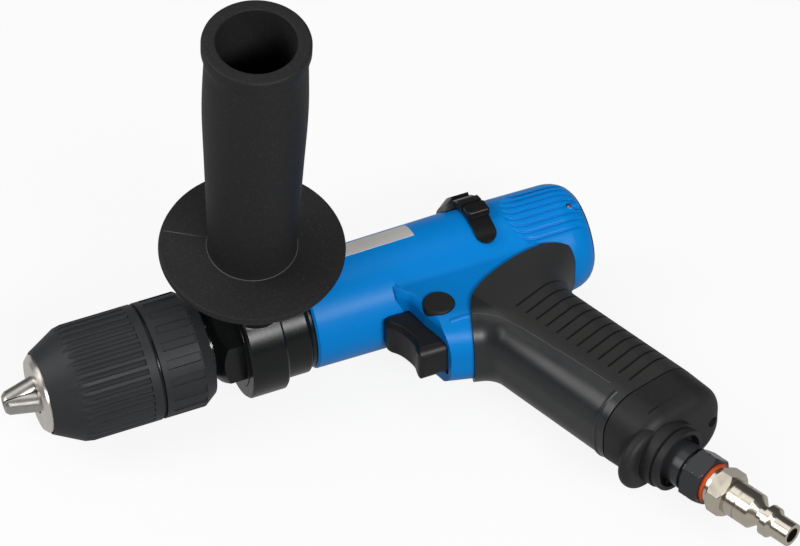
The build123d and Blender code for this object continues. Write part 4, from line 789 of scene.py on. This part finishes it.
    def dressed(self, node: str, body: Body, finish: Finish, width: float, angle: float = 32.0,
                changes: Sequence[tuple[Change, Piece]] = (), early: bool = False) -> None:
        """Puts a merged, rounded and finished copy in a solid's place.

        Args:
            node: The solid's node.
            body: The body that it rides on.
            finish: Its finish.
            width: Width of the edge rounding in millimetres.
            angle: Edges sharper than this many degrees are rounded.
            changes: Cuts and additions, in order.
            early: Whether edges are rounded before the changes.
        """
        piece = bpy.data.objects.new(f"{node}_finished", self.nodes[node].data.copy())
        bpy.context.scene.collection.objects.link(piece)
        self.select(piece)
        bpy.ops.mesh.customdata_custom_splitnormals_clear()
        self.everything()
        bpy.ops.mesh.remove_doubles(threshold=self.solid_weld)
        bpy.ops.mesh.dissolve_limited(angle_limit=self.flat_angle)
        bpy.ops.object.mode_set(mode="OBJECT")
        if early:
            self.eased(piece, width, angle)
        for change, cutter in changes:
            self.cut(piece, change, cutter)
        slot = Slot(self.slots[node])
        self.settle(piece, body, slot, finish, node, width=0.0 if early else width, angle=angle)


def flowing(points: Sequence[Point], steps: int) -> list[Point]:
    """A smooth line through points.

    Args:
        points: Points to pass through.
        steps: Steps between neighbouring points.

    Returns:
        The points of the line.
    """
    ends = [points[0], *points, points[-1]]
    line = []
    for k in range(1, len(ends) - 2):
        p0, p1, p2, p3 = (Vector(p) for p in ends[k - 1:k + 3])
        for n in range(steps):
            t = n / steps
            line.append(tuple(0.5 * (2 * p1 + (p2 - p0) * t + (2 * p0 - 5 * p1 + 4 * p2 - p3) * t * t
                                     + (3 * p1 - p0 - 3 * p2 + p3) * t ** 3)))
    line.append(tuple(points[-1]))
    return line


def quarter(radius: float, steps: int) -> list[Point]:
    """Points of a quarter circle that leaves its start sideways."""
    turns = [pi / 2 * step / steps for step in range(steps + 1)]
    return [(radius * (1 - cos(turn)), radius * sin(turn)) for turn in turns]


def volume(mesh: bpy.types.Mesh) -> float:
    """Measures a closed mesh.

    Args:
        mesh: The mesh.

    Returns:
        The volume inside it, in cubic metres.
    """
    shell = bmesh.new()
    shell.from_mesh(mesh)
    inside = shell.calc_volume(signed=True)
    shell.free()
    return inside


def around(along: float, angle: float, radius: float) -> Vector:
    """A place about the barrel in millimetres; the angle in degrees rises from the grip to the +z side."""
    turn = radians(angle)
    return Vector((along, -radius * cos(turn), radius * sin(turn)))


# Sub-assemblies


@dataclass
class Chuck(SubAssembly):
    """Keyless chuck: fluted front sleeve, panelled rear sleeve, bare nose and three jaws."""

    sleeve_edge: float = 0.25
    nose_edge: float = 0.3
    jaw_count: int = 3
    split_ring: Line = ((-58.65, 19.06), (-57.95, 19.06), (-57.95, 20.4), (-58.65, 20.4))
    split_edge: float = 0.1
    flute_count: int = 40
    flute_along: Point = (-100.0, -62.6)
    flute_axis: float = 21.65
    flute_radius: float = 1.15
    panel_count: int = 20
    panel_along: Point = (-55.9, -42.0)
    panel_half: float = 4.6
    panel_radius: float = 21.1
    panel_line: float = 0.32

    def build(self) -> None:
        """Makes and dresses the chuck."""
        ring = self.turned("chuck_split_ring", self.split_ring, BARREL)
        self.settle(ring, Body.SPINDLE, Slot.PLASTIC, GLOSS_PLASTIC, width=self.split_edge)
        flutes = self.joined([self.flute(n) for n in range(self.flute_count)])
        self.dressed("chuck_front_sleeve", Body.SLEEVE, CHUCK_PLASTIC, self.sleeve_edge,
                     changes=[(Change.CUT, flutes)])
        panels = self.joined([self.panel_outline(n) for n in range(self.panel_count)])
        self.dressed("chuck_rear_sleeve", Body.SPINDLE, CHUCK_PLASTIC, self.sleeve_edge,
                     changes=[(Change.CUT_CROSSING, panels)], early=True)
        self.dressed("chuck_body", Body.SPINDLE, NOSE_NICKEL, self.nose_edge)

    def flute(self, n: int) -> Piece:
        """Cutter of one flute of the front sleeve."""
        line = [around(x, 360.0 * n / self.flute_count, self.flute_axis) for x in self.flute_along]
        return self.wire(f"flute_{n}", line, self.flute_radius)

    def panel_outline(self, n: int) -> Piece:
        """Cutter of the fine line round one panel of the rear sleeve.

        Args:
            n: The panel's number.

        Returns:
            The cutter.
        """
        front, rear = self.panel_along
        middle = 360.0 * n / self.panel_count
        corners = ((rear, -1), (front, -1), (front, 1), (rear, 1))
        line = [around(x, middle + side * self.panel_half, self.panel_radius) for x, side in corners]
        return self.wire(f"panel_line_{n}", line, self.panel_line)


@dataclass
class Neck(SubAssembly):
    """Front neck: bright shoulder, faceted nut, collar and the clamp ring of the side handle."""

    edge: float = 0.35
    nut_nose: Line = ((-36.6, 0.0), (-36.6, 12.3), (-35.2, 13.4), (-31.9, 17.3), (-20.0, 17.3), (-20.0, 0.0))
    nut_steps: int = 120

    def build(self) -> None:
        """Makes and dresses the neck."""
        self.dressed("spindle", Body.SPINDLE, BRIGHT_STEEL, self.edge)
        nose = self.turned("nut_nose", self.nut_nose, BARREL, self.nut_steps)
        self.dressed("front_nut", Body.DRILL, BLACK_NECK, self.edge, changes=[(Change.KEEP, nose)])
        self.dressed("gear_case", Body.DRILL, BLACK_NECK, self.edge)
        self.dressed("handle_clamp", Body.CLAMP, BLACK_NECK, self.edge)


@dataclass
class SideHandle(SubAssembly):
    """Hollow side handle with a wide flange and a painted highlight round the flange's foot."""

    steps: int = 128
    flange: Line = (
        (48.4, 5.05), (48.4, 31.4), (48.8, 32.4), (49.8, 32.8), (50.4, 32.8), (51.4, 32.4), (51.8, 31.4),
        (51.8, 16.5), (52.05, 15.85))
    swell: Line = ((54.0, 15.6), (75.0, 16.2), (100.0, 17.0), (128.0, 17.8), (152.0, 17.2))
    swell_steps: int = 8
    lip: Line = (
        (155.4, 17.35), (156.2, 18.0), (157.2, 18.2), (160.5, 18.2), (161.05, 18.05), (161.45, 17.65), (161.6, 17.1),
        (161.6, 13.9), (161.45, 13.55), (161.1, 13.4))
    bore: Line = ((103.0, 12.5), (100.8, 11.5), (100.0, 9.4), (100.0, 0.0), (58.0, 0.0), (58.0, 5.05))
    mould_line_at: float = 51.8
    mould_line_across: Point = (16.5, 31.4)
    mould_line_angle: float = radians(149.0)
    mould_line_radius: float = 0.16
    # Lighter ring round the flange's foot: a painted highlight along its fillet.
    painted_foot_highlight: Line = ((52.02, 15.6), (52.14, 15.96), (52.02, 16.1), (51.72, 16.1), (51.72, 15.6))

    def build(self) -> None:
        """Makes and dresses the handle."""
        profile = [*self.flange, *flowing(self.swell, self.swell_steps), *self.lip, *self.bore]
        handle = self.turned("side_handle_grip", profile, HANDLE, self.steps)
        self.settle(handle, Body.HANDLE, Slot.PLASTIC, HANDLE_PLASTIC, "side_handle")
        ends = [HANDLE.spot(self.mould_line_at, radius, self.mould_line_angle) for radius in self.mould_line_across]
        mould_line = self.wire("flange_mould_line", ends, self.mould_line_radius)
        self.settle(mould_line, Body.HANDLE, Slot.PLASTIC, SEAM_RUBBER, width=None)
        # A thin raised ring in lighter grey: a painted highlight where the foot's fillet catches the light.
        ring = self.turned("flange_foot_line", self.painted_foot_highlight, HANDLE, self.steps)
        self.settle(ring, Body.HANDLE, Slot.PLASTIC, SEAM_RUBBER)


@dataclass
class Housing(SubAssembly):
    """Blue motor housing with its rear cap and screws."""

    edge: float = 0.3
    edge_angle: float = 28.0
    line: Line = (
        (0.0, 20.2), (60.0, 21.0), (98.0, 20.458), (101.0, 20.42), (103.0, 20.22), (105.0, 19.76), (107.0, 18.92),
        (108.5, 17.95), (109.65, 16.75))
    steps: int = 180
    line_steps: int = 4
    dome_from: int = 2
    dome_inner: Point = (16.3, 18.6)
    skin: float = 0.03
    wall: float = 1.1
    guard: Line = (
        (29.3, -8.0), (29.6, -14.5), (31.2, -17.8), (34.3, -21.0), (35.5, -24.7), (36.8, -30.3), (38.4, -35.3),
        (39.4, -38.7), (40.2, -43.0), (40.9, -47.0), (41.4, -52.0))
    bay_front: float = 16.0
    bay_lead: float = 4.0
    bay_over: float = 10.0
    nose_round: float = 3.0
    nose_steps: int = 6
    neck_half: float = 15.2
    rib_count: int = 8
    rib_pitch: float = 8.8
    rib_first: float = 50.0
    rib_front: float = 79.8
    rib_middle: float = 77.0
    rib_bow: float = 0.0035
    rib_hook: Line = ((0.0, 9.0), (2.0, 3.2), (5.5, 0.0))
    rib_rear: tuple[float, ...] = (92.0, 98.0, 101.0, 103.0, 105.0, 106.6, 108.0)
    rib_cuts: Line = ((2.2, 0.36), (0.5, 0.9))
    rib_run_in: int = 6
    rib_field: tuple[float, float, float, float] = (76.5, 98.6, 40.0, 132.0)
    rib_field_lead: float = 3.0
    rib_field_steps: int = 46
    screw_angle: float = 75.0
    screw_circle: float = 18.2
    screw_well: float = 2.0
    screw_along: Point = (103.9, 114.65)
    plate_along: Point = (6.5, 46.4)
    plate_angle: float = 58.0
    plate_sweep: float = 27.5
    plate_steps: int = 24
    plate_thickness: float = 0.14
    neck_rib: Line = ((43.4, -38.5), (45.6, -38.6), (48.0, -38.75), (50.4, -38.9))
    neck_rib_radius: float = 1.2
    neck_rib_sink: float = 0.66

    def build(self) -> None:
        """Makes and dresses the housing."""
        changes = [(Change.CUT, self.trigger_bay()), (Change.ADD, self.dome())]
        for side in (-1, 1):
            well = [around(x, side * self.screw_angle, self.screw_circle) for x in self.screw_along]
            changes += [(Change.CUT, self.wire("screw_well", well, self.screw_well)),
                        (Change.ADD, self.rib_ground(side))]
        grooves = [groove for side in (-1, 1) for radius, depth in self.rib_cuts
                   for groove in self.rib_grooves(side, radius, depth)]
        changes.append((Change.CUT_CROSSING, self.joined(grooves)))
        self.dressed("motor_housing", Body.DRILL, BLUE_PAINT, self.edge, self.edge_angle, changes, True)
        self.dressed("rear_cap", Body.DRILL, CAP_PLASTIC, self.edge)
        self.dressed("rear_screws", Body.DRILL, SCREW_STEEL, self.edge / 2)
        start, end = self.plate_along
        corners = ((start, -1), (end, -1), (end, 1), (start, 1))
        plate = self.turned("bare_plate", [
            (x, self.radius_at(x) + side * self.plate_thickness) for x, side in corners],
            BARREL, self.plate_steps, self.plate_angle, self.plate_sweep)
        self.settle(plate, Body.DRILL, Slot.ALUMINIUM, LABEL_FOIL, width=self.plate_thickness / 2)
        line = self.draped("motor_housing", self.neck_rib, self.neck_rib_sink)
        self.settle(self.wire("neck_rib", line, self.neck_rib_radius), Body.DRILL, Slot.BLUE, BLUE_PAINT)

    def radius_at(self, along: float) -> float:
        """Reads the barrel's line.

        Args:
            along: A place along the barrel.

        Returns:
            The barrel's radius there.
        """
        for (x0, r0), (x1, r1) in zip(self.line, self.line[1:]):
            if along <= x1:
                break
        return r0 + (r1 - r0) * (along - x0) / (x1 - x0)

    def dome(self) -> Piece:
        """The rounded skin over the barrel's rear edge.

        Returns:
            The skin.
        """
        rear = self.line[self.dome_from:]
        last, middle = self.dome_inner
        return self.turned("rear_dome", [
            *((x, r + self.skin) for x, r in rear), (rear[-1][0], last), (rear[2][0], middle),
            (rear[0][0], rear[0][1] - self.wall)], BARREL, self.steps)

    def rib_ground(self, side: int) -> Piece:
        """The plain skin that one side's ribs are cut in.

        Args:
            side: 1 for the +z side, -1 for the other.

        Returns:
            The skin.
        """
        front, rear, low, high = self.rib_field
        lead = front + self.rib_field_lead
        start = 180.0 - high if side > 0 else 180.0 + low
        return self.turned("rib_ground", [
            (front, self.radius_at(front) - self.wall), (lead, self.radius_at(lead) + self.skin),
            (rear, self.radius_at(rear) + self.skin), (rear, self.radius_at(rear) - self.wall)],
            BARREL, self.rib_field_steps, start, high - low)

    def rib_grooves(self, side: int, radius: float, deep: float) -> list[Piece]:
        """Cutters of the curved grooves over one side of the rear.

        Args:
            side: 1 for the +z side, -1 for the other.
            radius: Radius of each cutter.
            deep: How deep it goes.

        Returns:
            One cutter for each groove.
        """
        cutters = []
        for n in range(self.rib_count):
            angle = self.rib_first + self.rib_pitch * n
            front = self.rib_front + self.rib_bow * (angle - self.rib_middle) ** 2
            hook = [(front + along, angle + rise) for along, rise in self.rib_hook]
            path = flowing([*hook, *((x, angle) for x in self.rib_rear)], self.line_steps)
            line = []
            for k, (x, turn) in enumerate(path):
                depth = deep * min(1.0, k / self.rib_run_in, (len(path) - 1 - k) / self.rib_run_in)
                line.append(around(x, side * turn, self.radius_at(x) + radius - depth))
            cutters.append(self.wire(f"rib_groove_{n}", line, radius))
        return cutters

    def trigger_bay(self) -> Piece:
        """What is cut away in front of the trigger's guard, with the barrel left out of it.

        Returns:
            The cutter.
        """
        line = flowing(self.guard, self.line_steps)
        outline = [(self.bay_front, line[0][1]), *line, (self.bay_front, line[-1][1])]
        inner = self.neck_half - self.nose_round
        half = [Vector((back, 0, inner + out)) for back, out in quarter(self.nose_round, self.nose_steps)]
        half.append(half[-1] + Vector((0, 0, self.bay_over)))
        under = [Vector((place.x, 0, -place.z)) for place in reversed(half)]
        bay = self.stacked("trigger_bay", outline, under + half)
        start, end = self.bay_front - self.bay_lead, self.line[1][0]
        self.cut(bay, Change.CUT, self.turned("barrel_room", [
            (start, 0), (start, self.radius_at(start) + self.skin), (end, self.radius_at(end) + self.skin), (end, 0)],
            BARREL, self.steps))
        return bay


@dataclass
class Controls(SubAssembly):
    """Reverse lever, trigger and push button."""

    edge: float = 0.6
    edge_angle: float = 25.0
    button_edge: float = 0.3
    stop_size: Triple = (8.7, 3.8, 6.2)
    stop_at: float = 71.1
    stop_angle: float = 95.5
    stop_radius: float = 23.5
    trigger_foot: float = -43.3
    trigger_half: float = 7.5
    trigger_round: float = 4.5
    trigger_steps: int = 8
    trigger_reach: float = 90.0

    def build(self) -> None:
        """Makes and dresses the controls."""
        turn = Matrix.Rotation(radians(180.0 - self.stop_angle), 4, "X")
        place = BARREL.matrix() @ turn @ Matrix.Translation((self.stop_at * MM, self.stop_radius * MM, 0))
        stop = self.block("lever_stop", self.stop_size, place)
        self.dressed("reverse_lever", Body.LEVER, GLOSS_PLASTIC, self.edge, self.edge_angle,
                     [(Change.ADD, stop)], True)
        self.dressed("trigger", Body.TRIGGER, CONTROL_PLASTIC, self.edge, self.edge_angle,
                     [(Change.KEEP, self.trigger_form())])
        self.dressed("push_button", Body.BUTTON, CAP_PLASTIC, self.button_edge)

    def trigger_form(self) -> Piece:
        """A long bar whose section has the trigger's rounded foot.

        Returns:
            The bar.
        """
        inner = self.trigger_half - self.trigger_round
        half = [(self.trigger_foot + up, inner + out) for up, out in quarter(self.trigger_round, self.trigger_steps)]
        half.append((0.0, self.trigger_half))
        outline = half + [(y, -z) for y, z in reversed(half)]
        return self.stacked("trigger_form", outline, [Vector((0, 0, 0)), Vector((0, 0, self.trigger_reach))], CROSS)


@dataclass
class Grip(SubAssembly):
    """Rubber grip sleeve and the end cap under it."""

    edge: float = 0.35
    edge_angle: float = 28.0
    seam: Line = (
        (51.6, -39.6), (54.0, -40.7), (57.0, -42.6), (60.2, -45.5), (64.4, -52.7), (70.0, -64.9), (76.0, -78.1),
        (81.5, -91.0))
    seam_steps: int = 6
    seam_radius: float = 0.2
    bead_at: Point = (92.3, -92.4)
    bead_tilt: float = radians(15.5)
    bead_radius: float = 0.9
    bead_sink: float = 0.45
    bead_reach: float = 56.0
    bead_steps: int = 28
    cap_line: Line = ((87.6, -109.1), (92.7, -107.6), (97.7, -106.0), (102.8, -104.5))
    cap_line_radius: float = 0.3
    screw_across: float = 22.0
    screw_head: Line = ((101.0, 0.0), (101.0, 2.0), (125.0, 2.0), (125.0, 1.15), (123.2, 1.15), (123.2, 0.0))
    screw_edge: float = 0.12
    screw_steps: int = 48

    def build(self) -> None:
        """Makes and dresses the grip."""
        self.dressed("grip_sleeve", Body.DRILL, GRIP_RUBBER, self.edge, self.edge_angle)
        line = self.draped("grip_sleeve", flowing(self.seam, self.seam_steps), self.seam_radius / 2)
        seam = self.wire("grip_seam", line, self.seam_radius)
        self.settle(seam, Body.DRILL, Slot.RUBBER, SEAM_RUBBER, width=None)
        bead = self.wire("grip_bead", self.girdle(), self.bead_radius)
        self.settle(bead, Body.DRILL, Slot.RUBBER, GRIP_RUBBER)
        cap_line = self.wire("cap_line", self.draped("grip_end_cap", self.cap_line, 0.0), self.cap_line_radius)
        self.dressed("grip_end_cap", Body.DRILL, CAP_PLASTIC, self.edge, self.edge_angle,
                     [(Change.CUT, cap_line)])
        beside = Vector(GRIP.origin) + Vector(GRIP.across) * self.screw_across
        axis = Axis(tuple(beside), GRIP.along, GRIP.across)
        screw = self.turned("cap_screw_head", self.screw_head, axis, self.screw_steps)
        self.settle(screw, Body.DRILL, Slot.METAL, BLACK_INLET, "end_cap_screw", width=self.screw_edge)

    def girdle(self) -> list[Vector]:
        """Lays the bead that rings the grip's front above the end cap.

        Returns:
            Points of its middle.
        """
        middle = Vector((*self.bead_at, 0.0))
        forward = Vector((-cos(self.bead_tilt), -sin(self.bead_tilt), 0.0))
        rays = []
        for step in range(self.bead_steps + 1):
            turn = radians(self.bead_reach * (1 - 2 * step / self.bead_steps))
            out = forward * cos(turn) + Vector((0, 0, sin(turn)))
            rays.append((middle + out * self.ray_reach, -out))
        return self.dropped("grip_sleeve", rays, self.bead_sink)


@dataclass
class AirInlet(SubAssembly):
    """Exhaust ring, bushing, seal and quick-connect plug under the grip."""

    edge: float = 0.3
    notch_at: float = 142.4
    notch_radius: float = 9.75
    notch_width: float = 0.3
    notch_steps: int = 72
    fin_count: int = 6
    fin_size: Triple = (2.4, 1.9, 1.1)
    fin_at: float = 128.8
    fin_radius: float = 9.3

    def build(self) -> None:
        """Makes and dresses the inlet."""
        self.dressed("exhaust_ring", Body.DRILL, CAP_PLASTIC, self.edge)
        for n in range(self.fin_count):
            turn = Matrix.Rotation(tau * n / self.fin_count, 4, "X")
            place = GRIP.matrix() @ turn @ Matrix.Translation((self.fin_at * MM, self.fin_radius * MM, 0))
            fin = self.block(f"exhaust_fin_{n + 1}", self.fin_size, place)
            self.settle(fin, Body.DRILL, Slot.PLASTIC, GLOSS_PLASTIC)
        ring = [GRIP.spot(self.notch_at, self.notch_radius, tau * step / self.notch_steps)
                for step in range(self.notch_steps + 1)]
        notch = self.wire("notch_ring", ring, self.notch_width)
        self.dressed("inlet_bushing", Body.DRILL, BLACK_INLET, self.edge, changes=[(Change.CUT, notch)])
        self.dressed("inlet_seal", Body.DRILL, SEAL_NYLON, self.edge)
        self.dressed("air_plug", Body.DRILL, PLUG_NICKEL, self.edge)


@dataclass
class Studio:
    """Pale floor, soft lamps and the camera."""

    camera_at: Triple = (-0.29497, -0.79552, 0.91060)
    azimuth: float = -20.92
    elevation: float = 43.5
    roll: float = -2.02
    focal_pixels: float = 3517.9
    image_width: int = 800
    sensor: float = 36.0
    floor_size: float = 8.0
    floor_drop: float = 0.0005
    floor_white: float = 0.88
    floor_bounce: float = 0.2
    floor_mirrored: float = 0.4
    sky: Colour = (0.95, 0.97, 1.0)
    world_strength: float = 0.09
    lamp_aim: Triple = (0.02, 0.04, 0.05)
    lamps: tuple[tuple[str, Triple, Point, float], ...] = (
        ("key", (0.14, -1.2, 0.82), (0.95, 0.36), 17.0), ("side", (-1.07, 0.39, 0.95), (0.9, 0.9), 11.0),
        ("top", (-0.1, 0.3, 1.5), (1.0, 1.0), 4.0))

    def build(self) -> None:
        """Makes the floor, the light and the camera."""
        bpy.ops.object.select_all(action="DESELECT")
        bpy.ops.mesh.primitive_plane_add(size=self.floor_size, location=(0, 0, -self.floor_drop))
        floor = bpy.context.object
        floor.name = "studio_floor"
        floor.data.materials.append(self.floor_material())
        world = bpy.data.worlds.new("studio")
        world.use_nodes = True
        sky = world.node_tree.nodes["Background"]
        sky.inputs["Color"].default_value = (*self.sky, 1.0)
        sky.inputs["Strength"].default_value = self.world_strength
        bpy.context.scene.world = world
        for name, place, size, power in self.lamps:
            lamp = bpy.data.lights.new(name, "AREA")
            lamp.shape = "RECTANGLE"
            lamp.size, lamp.size_y = size
            lamp.energy = power
            stand = bpy.data.objects.new(name, lamp)
            stand.location = place
            aim = Vector(self.lamp_aim) - Vector(place)
            stand.rotation_euler = aim.to_track_quat("-Z", "Y").to_euler()
            bpy.context.scene.collection.objects.link(stand)
        self.camera()

    def floor_material(self) -> Material:
        """Pale floor that reads as white and keeps a soft shadow.

        Returns:
            The floor's material.
        """
        g = Graph("pale_floor")
        seen, mirrored, through = (g.node("ShaderNodeLightPath", {}, {}, f"Is {kind} Ray")
                                   for kind in ("Camera", "Glossy", "Transmission"))
        shade = g.mix(seen, (self.floor_bounce,) * 3, (self.floor_white,) * 3)
        matt = g.node("ShaderNodeBsdfDiffuse", {}, {"Color": shade})
        white = g.node("ShaderNodeEmission", {}, {"Color": (1.0, 1.0, 1.0), "Strength": 1.0})
        share = seen * self.floor_white + (mirrored + through) * self.floor_mirrored
        return g.close(g.node("ShaderNodeMixShader", {}, {0: share, 1: matt, 2: white}))

    def camera(self) -> None:
        """Stands the camera at the viewing angle."""
        turn, rise, roll = (radians(a) for a in (self.azimuth, 90.0 - self.elevation, self.roll))
        pose = Matrix.Rotation(turn, 4, "Z") @ Matrix.Rotation(rise, 4, "X") @ Matrix.Rotation(roll, 4, "Z")
        lens = bpy.data.cameras.new("camera")
        lens.sensor_fit = "HORIZONTAL"
        lens.sensor_width = self.sensor
        lens.lens = self.focal_pixels * self.sensor / self.image_width
        eye = bpy.data.objects.new("camera", lens)
        eye.matrix_world = Matrix.Translation(self.camera_at) @ pose
        bpy.context.scene.collection.objects.link(eye)
        bpy.context.scene.camera = eye


def main() -> None:
    """Loads the frame, dresses it and sets up the studio."""
    logging.basicConfig(level=logging.INFO, format="%(name)s %(message)s")
    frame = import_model()
    finisher = Finisher()
    slots = {row["node"]: row["material_slot"] for row in frame["record"]["subparts"]}
    for node, solid in frame["nodes"].items():
        finisher.put(solid, INNER_FINISHES[slots[node]])
    for n in range(Chuck.jaw_count):
        finisher.put(frame["nodes"][f"chuck_jaw_{n + 1}"], JAW_STEEL)
    for part in (Chuck, Neck, SideHandle, Housing, Controls, Grip, AirInlet):
        part(frame["nodes"], slots, finisher).build()
    Studio().build()
    bpy.context.scene.view_settings.view_transform = "Standard"


if __name__ == "__main__":
    main()
